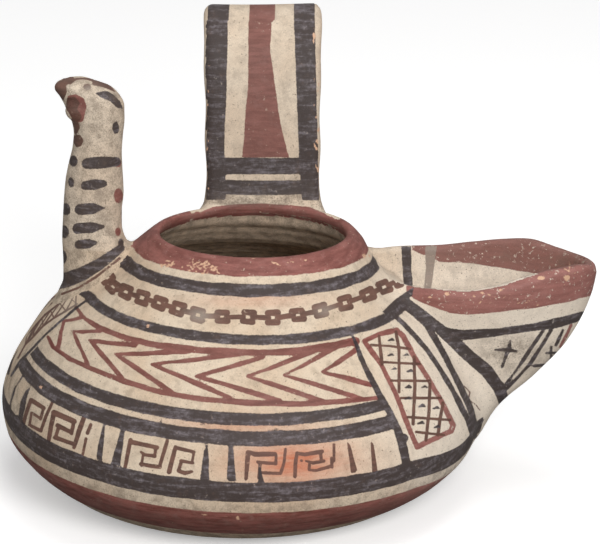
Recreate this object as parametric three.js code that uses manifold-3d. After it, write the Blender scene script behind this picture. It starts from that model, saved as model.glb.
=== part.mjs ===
// A painted strainer vase of fired clay, made by hand in one piece.
// Millimetres, +Z up. The origin is the middle of the flat underside.
// +X points to the strainer basin, +Y to the ribbon handle at the rear.
import * as THREE from "three";
import { mergeVertices } from "three/addons/utils/BufferGeometryUtils.js";
import Module from "manifold-3d";

const wasm = await Module();
wasm.setup();

// ---------------------------------------------------------------- dimensions
const WALL = 5.0; // wall of the body
const FLOOR = 7.5; // thickness of the floor in the middle
const BASE_R = 60.0; // flat resting disc
const GIRTH_R = 106.0; // greatest radius, low on the body
const GIRTH_H = 34.0;
const NECK_R = 51.6; // foot of the collar
const NECK_H = 110.5;
const LIP_R = 45.3; // outer edge of the lip
const LIP_H = 115.0;
const MOUTH_R = 40.4; // inner edge of the lip
const LEAN = (2.26 * Math.PI) / 180; // the pot has settled to its right
const MOUTH_DEPTH_RATIO = 0.965; // the mouth is a little wider than it is deep
const SIDES = 60; // facets round the body

const BASIN = {
  x: 102, // middle of the rim oval
  y: 11,
  turn: (-4.5 * Math.PI) / 180,
  rim_h: 94,
  wall: 5.0,
  foot_h: 16,
};
const HANDLE = { x: 10.8, width: 52.2, thick: 8.6, edge: 3.8 };
const CROWN_H = 182.5; // top of the bird's head
const HOLE = { dia: 4.2, length: 26, rows: 4, pitch: 7.4 };

const CREAM = 0xd3c3a7;

// ------------------------------------------------------------------- helpers
const clamp = (v, a, b) => Math.min(b, Math.max(a, v));
const mix = (a, b, t) => a + (b - a) * t;
const smooth = (a, b, v) => {
  const t = clamp((v - a) / (b - a), 0, 1); // also falls, when a > b
  return t * t * (3 - 2 * t);
};
const bump = (x, at, spread) => Math.exp(-(((x - at) / spread) ** 2));

// Monotone cubic through a table of [x, y] rows.
function table(rows) {
  const n = rows.length,
    d = [],
    m = [];
  for (let i = 0; i < n - 1; i++)
    d.push((rows[i + 1][1] - rows[i][1]) / (rows[i + 1][0] - rows[i][0]));
  for (let i = 0; i < n; i++)
    m.push(
      i === 0
        ? d[0]
        : i === n - 1
          ? d[n - 2]
          : d[i - 1] * d[i] <= 0
            ? 0
            : 2 / (1 / d[i - 1] + 1 / d[i]),
    );
  return (x) => {
    x = clamp(x, rows[0][0], rows[n - 1][0]);
    let i = 0;
    while (i < n - 2 && x > rows[i + 1][0]) i++;
    const h = rows[i + 1][0] - rows[i][0],
      t = (x - rows[i][0]) / h;
    return (
      rows[i][1] * (1 + 2 * t) * (1 - t) ** 2 +
      m[i] * h * t * (1 - t) ** 2 +
      rows[i + 1][1] * t * t * (3 - 2 * t) +
      m[i + 1] * h * t * t * (t - 1)
    );
  };
}

// A closed surface as a solid.
function solid(geometry) {
  const g = geometry.clone();
  g.deleteAttribute("normal");
  g.deleteAttribute("uv");
  const merged = mergeVertices(g, 1e-3);
  const made = new wasm.Manifold(
    new wasm.Mesh({
      numProp: 3,
      vertProperties: new Float32Array(merged.attributes.position.array),
      triVerts: new Uint32Array(merged.index.array),
    }),
  );
  if (made.volume() > 0) return made;
  const turned = new Uint32Array(merged.index.array);
  for (let i = 0; i < turned.length; i += 3)
    [turned[i + 1], turned[i + 2]] = [turned[i + 2], turned[i + 1]];
  return new wasm.Manifold(
    new wasm.Mesh({
      numProp: 3,
      vertProperties: new Float32Array(merged.attributes.position.array),
      triVerts: turned,
    }),
  );
}

// Moves each vertex of a geometry by a function of its place.
function shaped(geometry, place) {
  const p = geometry.attributes.position,
    v = new THREE.Vector3();
  for (let i = 0; i < p.count; i++) {
    v.fromBufferAttribute(p, i);
    place(v);
    p.setXYZ(i, v.x, v.y, v.z);
  }
  return geometry;
}

// A turned form: rows of [radius, height] from axis to axis, +Z up.
const turned = (rows, sides) =>
  new THREE.LatheGeometry(
    rows.map(([r, h]) => new THREE.Vector2(r, h)),
    sides,
  ).rotateX(Math.PI / 2);

// ---------------------------------------------------------------------- body
// Outer radius by height along the front of the pot.
const bodyRadius = table([
  [0, BASE_R],
  [0.6, 67],
  [1.6, 74],
  [3, 80.2],
  [4, 83.4],
  [6, 86.4],
  [10, 92.2],
  [16, 98.9],
  [24, 104.5],
  [GIRTH_H, GIRTH_R],
  [46, 103.2],
  [60, 96.1],
  [74, 86.8],
  [88, 72.7],
  [99.7, 60.2],
  [105.5, 55.4],
  [NECK_H, NECK_R],
  [LIP_H, LIP_R],
]);
// How far the rear of each ring has sunk below its front.
const ringDrop = table([[70, 0], [88, 4.2], [99.7, 8.6], [105.5, 9.2], [110.5, 8.0], [115, 4.4]]);
// How far the collar has slid over to the right, on top of the lean.
const ringShift = table([[88, 0], [99.7, 0.9], [105.5, 1.4], [110.5, 1.8], [115, 2.8]]);
// Share of the lean that tips a ring: none at the flat foot, little at the lip.
const ringTip = table([[0, 0], [3, 0.35], [6, 0.55], [16, 0.75], [30, 0.9], [46, 1], [74, 1], [88, 0.95], [99.7, 0.75], [110.5, 0.45], [115, 0.2]]);

// Turned coordinates (radius along x and y, height in z) to the settled pot.
function settle(v) {
  const h = v.z,
    r = Math.hypot(v.x, v.y);
  const back = r > 1e-6 ? v.y / r : 0;
  const s = Math.sin(LEAN);
  const deep = mix(1, MOUTH_DEPTH_RATIO, smooth(100, 115, h));
  const near = clamp(r / 40, 0, 1); // the middle of a floor stays level
  const x = (h - 4) * s * clamp(h / 6, 0, 1) + ringShift(h) + v.x;
  const z = h - (ringDrop(h) * (1 + back)) / 2 - ringTip(h) * s * v.x * near;
  v.set(x, v.y * deep, z);
}

const outerHeights = [
  0, 0.6, 1.6, 3, 6, 10, 16, 24, 34, 42, 50, 60, 70, 79, 88, 96, 103, NECK_H,
];
const outerRows = outerHeights.map((h) => [bodyRadius(h), h]);
const lipRows = [
  [47.6, 113.6],
  [LIP_R, LIP_H],
  [44.2, 115.8],
  [42.7, 116.1],
  [41.3, 115.8],
  [MOUTH_R, LIP_H],
];

// The hollow: the outer line moved in by the wall, square to the surface.
function insideRows() {
  const rows = [];
  for (const h of [112.5, 107, 100, 92, 82, 72, 60, 48, 38, 30, 24, 18]) {
    const slope = (bodyRadius(h + 0.5) - bodyRadius(h - 0.5)) / 1,
      n = Math.hypot(1, slope);
    rows.push([bodyRadius(h) - WALL / n, h + (WALL * slope) / n]);
  }
  return rows;
}
const hollowRows = [
  [0, 124],
  [MOUTH_R + 0.1, 124],
  [MOUTH_R + 0.1, LIP_H],
  [MOUTH_R + 0.5, 113.2],
  ...insideRows().filter(([, h]) => h < 112.4),
  [84, 12.6],
  [74, 9.2],
  [60, 7.6],
  [38, FLOOR],
  [0, FLOOR],
];

const bodySolid = solid(
  shaped(turned([[0, 0], ...outerRows, ...lipRows, [0, LIP_H]], SIDES), settle),
);
const hollow = solid(shaped(turned(hollowRows, SIDES), settle));

// --------------------------------------------------------------------- basin
// Outer end, inner end, half width and middle line of the basin by height.
const basinTip = table([[16, 105], [21, 109], [28, 113.5], [36, 120.5], [46, 132.5], [61, 146.6], [76, 154.8], [85, 157.8], [94, 159.3]]);
const basinRoot = table([[16, 88], [36, 80], [46, 70], [61, 58], [76, 50], [94, 46.5]]);
const basinHalf = table([[16, 7], [21, 11], [28, 14], [36, 15.5], [46, 17.5], [61, 22.5], [76, 27.2], [85, 29.6], [94, 30.5]]);
const basinMid = table([[16, 2], [36, 4], [61, 8.5], [94, 11]]);

// Wavy height of the hand-shaped rim round the oval, 0 degrees at the outer end.
const rimRise = table([[-180, 0.4], [-120, -1.9], [-92, -2.4], [-75, 0], [-60, 3.6], [-45, 6], [-30, 6.2], [-15, 4.4], [0, 2], [30, 1.9], [45, 2.8], [60, 4.6], [75, 3.2], [90, 1.2], [108, -0.4], [135, 0.4], [180, 0.4]]);
const rimWave = (a) => rimRise((a * 180) / Math.PI);

// From a unit column (x, y on the unit circle, z = height) to the basin.
function basinPlace(inset) {
  return (v) => {
    const h = v.z,
      a = Math.atan2(v.y, v.x),
      q = Math.hypot(v.x, v.y);
    const tip = basinTip(h) - inset,
      root = basinRoot(h),
      half = basinHalf(h) - inset;
    const px = (mix(root, tip, 0.5) - BASIN.x) + ((tip - root) / 2) * Math.cos(a) * q;
    const py = half * Math.sin(a) * q;
    const c = Math.cos(BASIN.turn),
      s = Math.sin(BASIN.turn);
    const wave = rimWave(a) * smooth(58, 93, h) * clamp(q * 2, 0, 1);
    v.set(BASIN.x + px * c - py * s, basinMid(h) + px * s + py * c, h + wave);
  };
}
const basinHeights = [21, 28, 36, 46, 54, 61, 69, 76, 85, 92.4];
const basinSolid = solid(
  shaped(
    turned(
      [
        [0, BASIN.foot_h],
        [1, BASIN.foot_h],
        ...basinHeights.map((h) => [1, h]),
        [0.985, 93.6],
        [0.955, BASIN.rim_h],
        [0, BASIN.rim_h],
      ],
      40,
    ),
    basinPlace(0),
  ),
);
const basinHollow = solid(
  shaped(
    turned(
      [
        [0, 44],
        [0.6, 44],
        [0.9, 47],
        ...[54, 61, 69, 76, 85, 93].map((h) => [1, h]),
        [1.0, 112],
        [0, 112],
      ],
      36,
    ),
    basinPlace(BASIN.wall),
  ),
);

// -------------------------------------------------------------------- handle
const handlePath = new THREE.CatmullRomCurve3(
  [
    [40.5, 103],
    [45.0, 118],
    [48.2, 140],
    [52.5, 163],
    [58.5, 181.5],
    [69.5, 191.2],
    [83.5, 188],
    [93.0, 171.5],
    [97.0, 147],
    [97.0, 120],
    [92.0, 95],
    [82.0, 73],
  ].map(([y, z]) => new THREE.Vector3(HANDLE.x, y, z)),
);
const strap = new THREE.Shape();
{
  const w = HANDLE.width / 2,
    t = HANDLE.thick / 2,
    e = HANDLE.edge;
  const corner = (cx, cy, from) => {
    for (let k = 0; k <= 3; k++) {
      const a = from + (k * Math.PI) / 6;
      strap[k === 0 && from === 0 ? "moveTo" : "lineTo"](
        cx + e * 1.25 * Math.cos(a),
        cy + e * Math.sin(a),
      );
    }
  };
  corner(w - e * 1.25, t - e, 0);
  corner(-w + e * 1.25, t - e, Math.PI / 2);
  corner(-w + e * 1.25, -t + e, Math.PI);
  corner(w - e * 1.25, -t + e, (3 * Math.PI) / 2);
}
const handleSolid = solid(
  shaped(
    new THREE.ExtrudeGeometry(strap, {
      steps: 30,
      bevelEnabled: false,
      extrudePath: handlePath,
    }),
    (v) => {
      // broad where it was pressed on to the rim and the shoulder, a slight waist above
      const foot = 1 + 0.07 * bump(v.z, 106, 5) + 0.12 * bump(v.z, 76, 12);
      const waist = 1 - (v.y < 70 ? 0.035 * bump(v.z, 124, 13) : 0.06 * smooth(190, 140, v.z));
      v.x = HANDLE.x + (v.x - HANDLE.x) * foot * waist;
    },
  ),
);

// ---------------------------------------------------------------------- bird
// A solid neck: middle line and radii by height.
const birdMid = table([[70, -63.4], [100, -63.2], [120, -63.7], [143, -62.2], [157, -61.2], [169, -60.4], [176, -61], [183, -63]]);
const birdRx = table([[70, 18.5], [88, 15.8], [100, 14.8], [110, 13.8], [120, 13.5], [143, 11.8], [157, 11], [165, 12], [171, 12], [177, 10.8], [181, 7], [182.5, 1]]);
const birdRy = table([[70, 16.5], [88, 14.6], [100, 13.2], [120, 12.6], [143, 11.0], [157, 10.4], [168, 11.4], [175, 10.6], [180.5, 7], [182.5, 1]]);
const birdNeck = solid(
  shaped(
    turned(
      [
        [0, 72],
        ...[72, 84, 94, 104, 120, 134, 147, 157, 164, 170, 175, 179, 181.5].map((h) => [1, h]),
        [0, CROWN_H],
      ],
      20,
    ),
    (v) => {
      const h = v.z;
      v.set(birdMid(h) + v.x * birdRx(h), v.y * birdRy(h), h);
    },
  ),
);
// The beak and jaw: a blunt wedge that points to -X from the front of the head.
const beakSolid = solid(
  shaped(
    turned(
      [
        [0, 0],
        [9, 0],
        [9, 4],
        [8.2, 8.5],
        [6.4, 12.5],
        [3.6, 16.2],
        [1.4, 18.8],
        [0, 19.6],
      ],
      16,
    ),
    (v) => {
      const t = v.z / 19.6;
      const deep = v.x < 0 ? mix(1.3, 1, t) : mix(0.8, 0.8, t); // x < 0 is the jaw
      v.set(-59 - v.z + v.x * 0.12, v.y * mix(1, 0.7, t), mix(174, 178.6, t) + v.x * deep);
    },
  ),
);

// ------------------------------------------------------------- strainer holes
// Rows of round holes through the wall of the body, inside the basin.
const holes = [];
for (let row = 0; row < HOLE.rows; row++) {
  const h = 60.5 + row * 6.9;
  const r = bodyRadius(h),
    slope = (bodyRadius(h + 0.5) - bodyRadius(h - 0.5)) / 1;
  const count = [3, 4, 5, 4][row];
  for (let k = 0; k < count; k++) {
    const a = 0.085 + ((k - (count - 1) / 2) * HOLE.pitch) / r;
    const pin = new THREE.CylinderGeometry(HOLE.dia / 2, HOLE.dia / 2, HOLE.length, 8);
    const out = new THREE.Vector3(Math.cos(a), Math.sin(a), -slope).normalize();
    pin.applyQuaternion(
      new THREE.Quaternion().setFromUnitVectors(new THREE.Vector3(0, 1, 0), out),
    );
    const at = new THREE.Vector3(r * Math.cos(a), r * Math.sin(a), h);
    settle(at);
    at.addScaledVector(out, -WALL / 2);
    pin.translate(at.x, at.y, at.z);
    holes.push(solid(pin));
  }
}

// ------------------------------------------------------------------ the piece
let vase = bodySolid.add(basinSolid).add(handleSolid).add(birdNeck).add(beakSolid);
vase = vase.subtract(hollow).subtract(basinHollow.subtract(bodySolid));
for (const hole of holes) vase = vase.subtract(hole);
// only the one body of clay: no chip left loose by a cut
const bodies = vase.decompose().sort((a, b) => b.volume() - a.volume());
const mesh = bodies[0].getMesh();

const geometry = new THREE.BufferGeometry();
const xyz = new Float32Array(mesh.numVert * 3);
for (let i = 0; i < mesh.numVert; i++)
  xyz.set(mesh.vertProperties.subarray(i * mesh.numProp, i * mesh.numProp + 3), i * 3);
geometry.setAttribute("position", new THREE.BufferAttribute(xyz, 3));
geometry.setIndex(new THREE.BufferAttribute(new Uint32Array(mesh.triVerts), 1));
geometry.computeVertexNormals();

const clay = new THREE.MeshStandardMaterial({
  color: CREAM,
  roughness: 0.78,
  metalness: 0,
});
const piece = new THREE.Mesh(geometry, clay);
piece.name = "strainer_vase";

const group = new THREE.Group();
group.add(piece);
export default group;
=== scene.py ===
import math

import bpy
import numpy as np
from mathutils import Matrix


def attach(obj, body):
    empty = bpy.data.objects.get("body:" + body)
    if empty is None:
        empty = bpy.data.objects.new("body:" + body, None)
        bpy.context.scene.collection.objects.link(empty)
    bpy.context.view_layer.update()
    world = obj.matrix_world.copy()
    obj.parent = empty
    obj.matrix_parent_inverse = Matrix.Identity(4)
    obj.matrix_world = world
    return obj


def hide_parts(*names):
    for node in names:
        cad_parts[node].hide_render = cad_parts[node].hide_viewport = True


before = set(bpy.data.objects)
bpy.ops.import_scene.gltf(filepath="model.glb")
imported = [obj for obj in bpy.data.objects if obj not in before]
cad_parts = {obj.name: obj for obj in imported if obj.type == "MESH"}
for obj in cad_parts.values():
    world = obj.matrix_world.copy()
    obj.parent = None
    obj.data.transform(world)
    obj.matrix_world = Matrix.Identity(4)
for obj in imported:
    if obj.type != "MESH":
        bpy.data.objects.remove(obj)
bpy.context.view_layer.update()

# ------------------------------------------------------------------ numbers, mm
WALL, FLOOR = 5.0, 7.5
BASE_R, GIRTH_R, GIRTH_H = 60.0, 106.0, 34.0
NECK_R, NECK_H, LIP_R, LIP_H, MOUTH_R = 51.6, 110.5, 45.3, 115.0, 40.4
LEAN = math.radians(2.26)
SL = math.sin(LEAN)
BASIN_X, BASIN_TURN, BASIN_RIM, BASIN_WALL = 102.0, math.radians(-4.5), 94.0, 5.0
HANDLE_X, HANDLE_W, HANDLE_T = 10.8, 52.2, 8.6
STEP = 1.62


def curve(rows, step=0.1):
    """Monotone cubic through (x, y) rows, returned as a function."""
    x = np.array([r[0] for r in rows], float)
    y = np.array([r[1] for r in rows], float)
    d = np.diff(y) / np.diff(x)
    m = np.zeros(len(x))
    m[0], m[-1] = d[0], d[-1]
    for i in range(1, len(x) - 1):
        m[i] = 0.0 if d[i - 1] * d[i] <= 0 else 2 / (1 / d[i - 1] + 1 / d[i])
    n = max(8, int((x[-1] - x[0]) / step))
    xs = np.linspace(x[0], x[-1], n + 1)
    i = np.clip(np.searchsorted(x, xs, side="right") - 1, 0, len(x) - 2)
    h = x[i + 1] - x[i]
    t = (xs - x[i]) / h
    ys = (
        y[i] * (1 + 2 * t) * (1 - t) ** 2
        + m[i] * h * t * (1 - t) ** 2
        + y[i + 1] * t * t * (3 - 2 * t)
        + m[i + 1] * h * t * t * (t - 1)
    )
    return lambda v: np.interp(v, xs, ys)


def smooth(a, b, v):
    t = np.clip((v - a) / (b - a), 0, 1)
    return t * t * (3 - 2 * t)


def gauss(v, at, spread):
    return np.exp(-(((v - at) / spread) ** 2))


def smin(a, b, k):
    h = np.clip(0.5 + 0.5 * (b - a) / k, 0, 1)
    return b + (a - b) * h - k * h * (1 - h)


def smax(a, b, k):
    return -smin(-a, -b, k)


# ------------------------------------------------------------------------ body
body_r = curve(
    [(0, BASE_R), (0.6, 67), (1.6, 74), (3, 80.2), (4, 83.4), (6, 86.4), (10, 92.2), (16, 98.9), (24, 104.5),
     (GIRTH_H, GIRTH_R), (46, 103.2), (60, 96.1), (74, 86.8), (88, 72.7), (99.7, 60.2), (105.5, 55.4),
     (NECK_H, NECK_R), (LIP_H, LIP_R)]
)
ring_drop = curve([(70, 0), (88, 4.2), (99.7, 8.6), (105.5, 9.2), (110.5, 8.0), (115, 4.4)])
ring_shift = curve([(88, 0), (99.7, 0.9), (105.5, 1.4), (110.5, 1.8), (115, 2.8)])
ring_tip = curve([(0, 0), (3, 0.35), (6, 0.55), (16, 0.75), (30, 0.9), (46, 1), (74, 1), (88, 0.95), (99.7, 0.75), (110.5, 0.45), (115, 0.2)])


def unsettle(X, Y, Z, rounds=4):
    """World to turned coordinates: undoes the lean and the sunken, shifted collar."""
    h = Z.astype(np.float32)
    for _ in range(rounds):
        x = X - (h - 4) * SL * np.clip(h / 6, 0, 1) - ring_shift(h)
        y = Y / (1 - 0.035 * smooth(100, 115, h))
        r = np.sqrt(x * x + y * y) + 1e-6
        h = (Z + ring_drop(h) * (1 + y / r) / 2 + ring_tip(h) * SL * x * np.clip(r / 40, 0, 1)).astype(np.float32)
    return x, y, r, h


def polygon_sdf(pts, r0, r1, h0, h1, step):
    """Signed distance to a closed (r, h) polygon, sampled on a grid."""
    pts = np.array(pts, float)
    a, b = pts, np.roll(pts, -1, 0)
    rr = np.arange(r0, r1 + step, step)
    hh = np.arange(h0, h1 + step, step)
    R, H = np.meshgrid(rr, hh, indexing="ij")
    best = np.full(R.shape, 1e9)
    inside = np.zeros(R.shape, bool)
    for (ax, ay), (bx, by) in zip(a, b):
        ex, ey = bx - ax, by - ay
        L = ex * ex + ey * ey
        if L < 1e-12:
            continue
        t = np.clip(((R - ax) * ex + (H - ay) * ey) / L, 0, 1)
        best = np.minimum(best, (R - ax - t * ex) ** 2 + (H - ay - t * ey) ** 2)
        if abs(ey) > 1e-12:
            cross = ((ay <= H) & (by > H)) | ((by <= H) & (ay > H))
            inside ^= cross & (R < ax + (H - ay) / ey * ex)
    d = np.sqrt(best)
    return (np.where(inside, -d, d).astype(np.float32), r0, h0, step)


def sample(field, r, h):
    g, r0, h0, s = field
    u = np.clip((r - r0) / s, 0, g.shape[0] - 1.001)
    v = np.clip((h - h0) / s, 0, g.shape[1] - 1.001)
    i, j = u.astype(np.int32), v.astype(np.int32)
    fu, fv = (u - i).astype(np.float32), (v - j).astype(np.float32)
    flat = g.ravel()
    k = i * g.shape[1] + j
    w = g.shape[1]
    return (flat[k] * (1 - fu) + flat[k + w] * fu) * (1 - fv) + (flat[k + 1] * (1 - fu) + flat[k + w + 1] * fu) * fv


def profiles():
    hs = np.concatenate([[0, 0.3, 0.6, 1.1, 1.6, 2.3], np.arange(3, 113.6, 0.8)])
    rs = body_r(hs)
    outer = [(-10, 0)] + list(zip(rs, hs)) + [(46.6, 114.2), (LIP_R, LIP_H), (44.6, 115.6), (43.6, 116.0), (42.6, 116.1), (41.6, 115.8), (40.8, 115.3), (MOUTH_R, 114.6), (39.4, 113), (-10, 113)]
    hi = np.arange(17, 113, 0.8)
    slope = (body_r(hi + 0.5) - body_r(hi - 0.5)) / 1.0
    n = np.hypot(1, slope)
    wall = WALL
    ri, zi = body_r(hi) - wall / n, hi + wall * slope / n
    keep = zi < 112.3
    inner = [(-10, FLOOR), (30, FLOOR), (50, 7.5), (62, 7.75), (70, 8.5), (77, 9.9), (83, 12.1)]
    inner += [(a, b) for a, b in zip(ri[keep], zi[keep]) if b > 14.0]
    inner += [(MOUTH_R + 0.35, 113.2), (MOUTH_R + 0.05, 115), (MOUTH_R + 0.4, 119), (MOUTH_R + 1, 140), (-10, 140)]
    o = polygon_sdf(outer, -3, 122, -8, 130, 0.5)
    i = polygon_sdf(inner, -3, 122, -8, 130, 0.5)
    return o, i


OUTER, INNER = profiles()

# ----------------------------------------------------------------------- basin
basin_tip = curve([(16, 105), (21, 109), (28, 113.5), (36, 120.5), (46, 132.5), (61, 146.6), (76, 154.8), (85, 157.8), (94, 159.3), (104, 160.2)])
basin_root = curve([(16, 88), (36, 80), (46, 70), (61, 58), (76, 50), (94, 46.5), (104, 46)])
basin_half = curve([(16, 7), (21, 11), (28, 14), (36, 15.5), (46, 17.5), (61, 22.5), (76, 27.2), (85, 29.6), (94, 30.5), (104, 31)])
basin_mid = curve([(16, 2), (36, 4), (61, 8.5), (94, 11), (104, 11.5)])
rim_rise = curve(
    [(-180, 0.4), (-120, -1.9), (-92, -2.4), (-75, 0), (-60, 3.6), (-45, 6), (-30, 6.2), (-15, 4.4), (0, 2), (30, 1.9),
     (45, 2.8), (60, 4.6), (75, 3.2), (90, 1.2), (108, -0.4), (135, 0.4), (180, 0.4)], 0.5)
CT, ST = math.cos(BASIN_TURN), math.sin(BASIN_TURN)


def basin_local(X, Y, Z):
    """(q, angle, h): q is 1 on the outer wall, h the height once the rim's waves are ironed out."""
    h = Z
    for _ in range(2):
        u0, v0 = X - BASIN_X, Y - basin_mid(h)
        u = u0 * CT + v0 * ST
        v = -u0 * ST + v0 * CT
        tip, root = basin_tip(h), basin_root(h)
        pu = (u - ((tip + root) / 2 - BASIN_X)) / ((tip - root) / 2)
        pv = v / basin_half(h)
        a = np.arctan2(pv, pu)
        q = np.sqrt(pu * pu + pv * pv)
        h = Z - rim_rise(np.degrees(a)) * smooth(58, 93, h) * np.clip(q * 2, 0, 1)
    return q, a, h


def basin_fields(X, Y, Z):
    """Distance to the basin's outer flank (negative inside), and its ironed height."""
    e = 0.6
    q, a, h = basin_local(X, Y, Z)
    gx = basin_local(X + e, Y, Z)[0] - basin_local(X - e, Y, Z)[0]
    gy = basin_local(X, Y + e, Z)[0] - basin_local(X, Y - e, Z)[0]
    gz = basin_local(X, Y, Z + e)[0] - basin_local(X, Y, Z - e)[0]
    g = np.sqrt(gx * gx + gy * gy + gz * gz) / (2 * e)
    d = (q - 1) / np.maximum(g, 0.012)
    return d, h, a


# ---------------------------------------------------------------------- handle
def catmull(pts, per=12):
    p = np.array(pts, float)
    p = np.vstack([2 * p[0] - p[1], p, 2 * p[-1] - p[-2]])
    out = []
    for i in range(1, len(p) - 2):
        p0, p1, p2, p3 = p[i - 1], p[i], p[i + 1], p[i + 2]
        t0 = 0.0
        t1 = t0 + np.linalg.norm(p1 - p0) ** 0.5
        t2 = t1 + np.linalg.norm(p2 - p1) ** 0.5
        t3 = t2 + np.linalg.norm(p3 - p2) ** 0.5
        for t in np.linspace(t1, t2, per, endpoint=False):
            a1 = (t1 - t) / (t1 - t0) * p0 + (t - t0) / (t1 - t0) * p1
            a2 = (t2 - t) / (t2 - t1) * p1 + (t - t1) / (t2 - t1) * p2
            a3 = (t3 - t) / (t3 - t2) * p2 + (t - t2) / (t3 - t2) * p3
            b1 = (t2 - t) / (t2 - t0) * a1 + (t - t0) / (t2 - t0) * a2
            b2 = (t3 - t) / (t3 - t1) * a2 + (t - t1) / (t3 - t1) * a3
            out.append((t2 - t) / (t2 - t1) * b1 + (t - t1) / (t2 - t1) * b2)
    out.append(p[-2])
    return np.array(out)


PATH = catmull(
    [(40.5, 103), (45.0, 118), (48.2, 140), (52.5, 163), (58.5, 181.5), (69.5, 191.2), (83.5, 188), (93.0, 171.5),
     (97.0, 147), (97.0, 120), (92.0, 95), (82.0, 73)], 10)
PATH_S = np.concatenate([[0], np.cumsum(np.linalg.norm(np.diff(PATH, axis=0), axis=1))])


def path_near(Y, Z):
    """Side distance (+ on the outside of the loop) and arc length along the strap."""
    a, b = PATH[:-1], PATH[1:]
    best = np.full(Y.shape, 1e9)
    side = np.zeros(Y.shape)
    arc = np.zeros(Y.shape)
    for i in range(len(a)):
        e = b[i] - a[i]
        L = np.hypot(*e)
        py, pz = Y - a[i, 0], Z - a[i, 1]
        t = np.clip((py * e[0] + pz * e[1]) / (L * L), 0, 1)
        dy, dz = py - t * e[0], pz - t * e[1]
        d = dy * dy + dz * dz
        m = d < best
        best = np.where(m, d, best)
        side = np.where(m, np.sign(pz * e[0] - py * e[1]), side)
        arc = np.where(m, PATH_S[i] + t * L, arc)
    return np.sqrt(best) * side, arc


def handle_sdf(X, Y, Z, near=None):
    t, s = path_near(Y, Z) if near is None else near
    rear = smooth(64, 80, Y)
    foot = 1 + 0.07 * gauss(Z, 106, 5) + 0.12 * gauss(Z, 76, 12)
    waist = 1 - (1 - rear) * 0.035 * gauss(Z, 124, 13) - rear * 0.06 * smooth(190, 140, Z)
    half = HANDLE_W / 2 * foot * waist + 0.35 * np.sin(s / 11.0) + 0.25 * np.sin(s / 4.7 + X * 0.02)
    thick = HANDLE_T / 2 - 0.25 + 0.0016 * (X - HANDLE_X) ** 2 * 0.35 + 0.22 * np.sin(s / 9.0 + X / 17.0)
    e = 3.7
    qx, qt = np.abs(X - HANDLE_X) - (half - e), np.abs(t) - (thick - e)
    return np.hypot(np.maximum(qx, 0), np.maximum(qt, 0)) + np.minimum(np.maximum(qx, qt), 0) - e, t, s


# ------------------------------------------------------------------------ bird
bird_left = curve([(70, -82), (86, -78.6), (92, -76.6), (100, -76.4), (111, -76.7), (118.7, -76.3), (129, -75.6), (138, -74.6), (145.8, -72.9),
                   (153.6, -71.0), (159.4, -70.5), (163.9, -71.2), (167.8, -72.9), (171, -74.0), (175.5, -76.3), (179.2, -78.6), (182, -78.2), (186, -76)])
bird_right = curve([(70, -40), (86, -43), (96, -46), (104, -47.0), (109, -48.6), (116, -50.3), (124, -50.2), (131, -49.4), (142, -49.8), (149, -50),
                    (157, -49.4), (166, -48.4), (171, -48.4), (175, -50), (179.3, -54), (182, -60), (186, -66)])
bird_half = curve([(70, 19), (86, 15.5), (96, 13.6), (106, 12.8), (120, 12.3), (143, 10.8), (157, 10.2), (168, 11.2), (175, 10.8), (180, 9.2), (183, 7.4), (186, 6)])
bird_snout = curve([(70, 2), (160, 2), (168, 1.75), (175, 1.5), (180, 1.4), (186, 1.4)])


def bird_q(X, Y, Z):
    L, R, b, p = bird_left(Z), bird_right(Z), bird_half(Z), bird_snout(Z)
    w0 = np.minimum((R - L) / 2, 11.4 + 0.3 * np.maximum(0, 100 - Z))
    c = R - w0
    t = np.where(X > c, (X - c) / w0, (c - X) / (c - L))
    pw = np.where(X > c, 2.0, p)
    return np.maximum(t, 1e-6) ** pw + (Y / b) ** 2


def bird_sdf(X, Y, Z):
    e = 0.5
    q = bird_q(X, Y, Z)
    gx = bird_q(X + e, Y, Z) - bird_q(X - e, Y, Z)
    gy = bird_q(X, Y + e, Z) - bird_q(X, Y - e, Z)
    gz = bird_q(X, Y, Z + e) - bird_q(X, Y, Z - e)
    g = np.sqrt(gx * gx + gy * gy + gz * gz) / (2 * e)
    d = (q - 1) / np.maximum(g, 0.05)
    d = np.clip(d, -9, 40)
    # crown: a low roof that droops to the beak and to the back of the head
    roof = 183.6 - 0.0115 * (X + 67.0) ** 2 - 0.03 * Y * Y
    d = smax(d, (Z - roof) * 0.93, 3.2)
    for side in (-1, 1):
        eye = np.sqrt(((X + 68.6) / 1.15) ** 2 + (Y - side * 6.4) ** 2 + (Z - 170.6) ** 2) - 4.3
        d = smin(d, eye, 2.4)
    return d


# ----------------------------------------------------------------------- holes
def hole_axes():
    out = []
    for row, count in enumerate((3, 4, 5, 4)):
        h = 60.5 + row * 6.9
        r = float(body_r(h))
        slope = float(body_r(h + 0.5) - body_r(h - 0.5))
        for k in range(count):
            a = 0.085 + (k - (count - 1) / 2) * 7.4 / r
            o = np.array([math.cos(a), math.sin(a), -slope])
            o /= np.linalg.norm(o)
            x, y = r * math.cos(a), r * math.sin(a)
            s = SL
            back = y / r
            at = np.array([(h - 4) * s + float(ring_shift(h)) + x, y,
                           h - float(ring_drop(h)) * (1 + back) / 2 - float(ring_tip(h)) * s * x])
            out.append((at - o * WALL / 2, o))
    return out


HOLES = hole_axes()


def noise(X, Y, Z):
    """Slow unevenness of a hand-made wall, about -1 to 1."""
    return (
        np.sin(X / 13.1 + 1.3 * np.sin(Z / 21.0) + 0.7) * np.sin(Y / 15.7 + 0.9 * np.sin(X / 26.0)) * 0.6
        + np.sin(Z / 9.3 + 1.1 * np.sin(Y / 18.0) + X / 31.0) * 0.4
    )


def box_of(X, Y, Z, lo, hi):
    return (X > lo[0]) & (X < hi[0]) & (Y > lo[1]) & (Y < hi[1]) & (Z > lo[2]) & (Z < hi[2])


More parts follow.
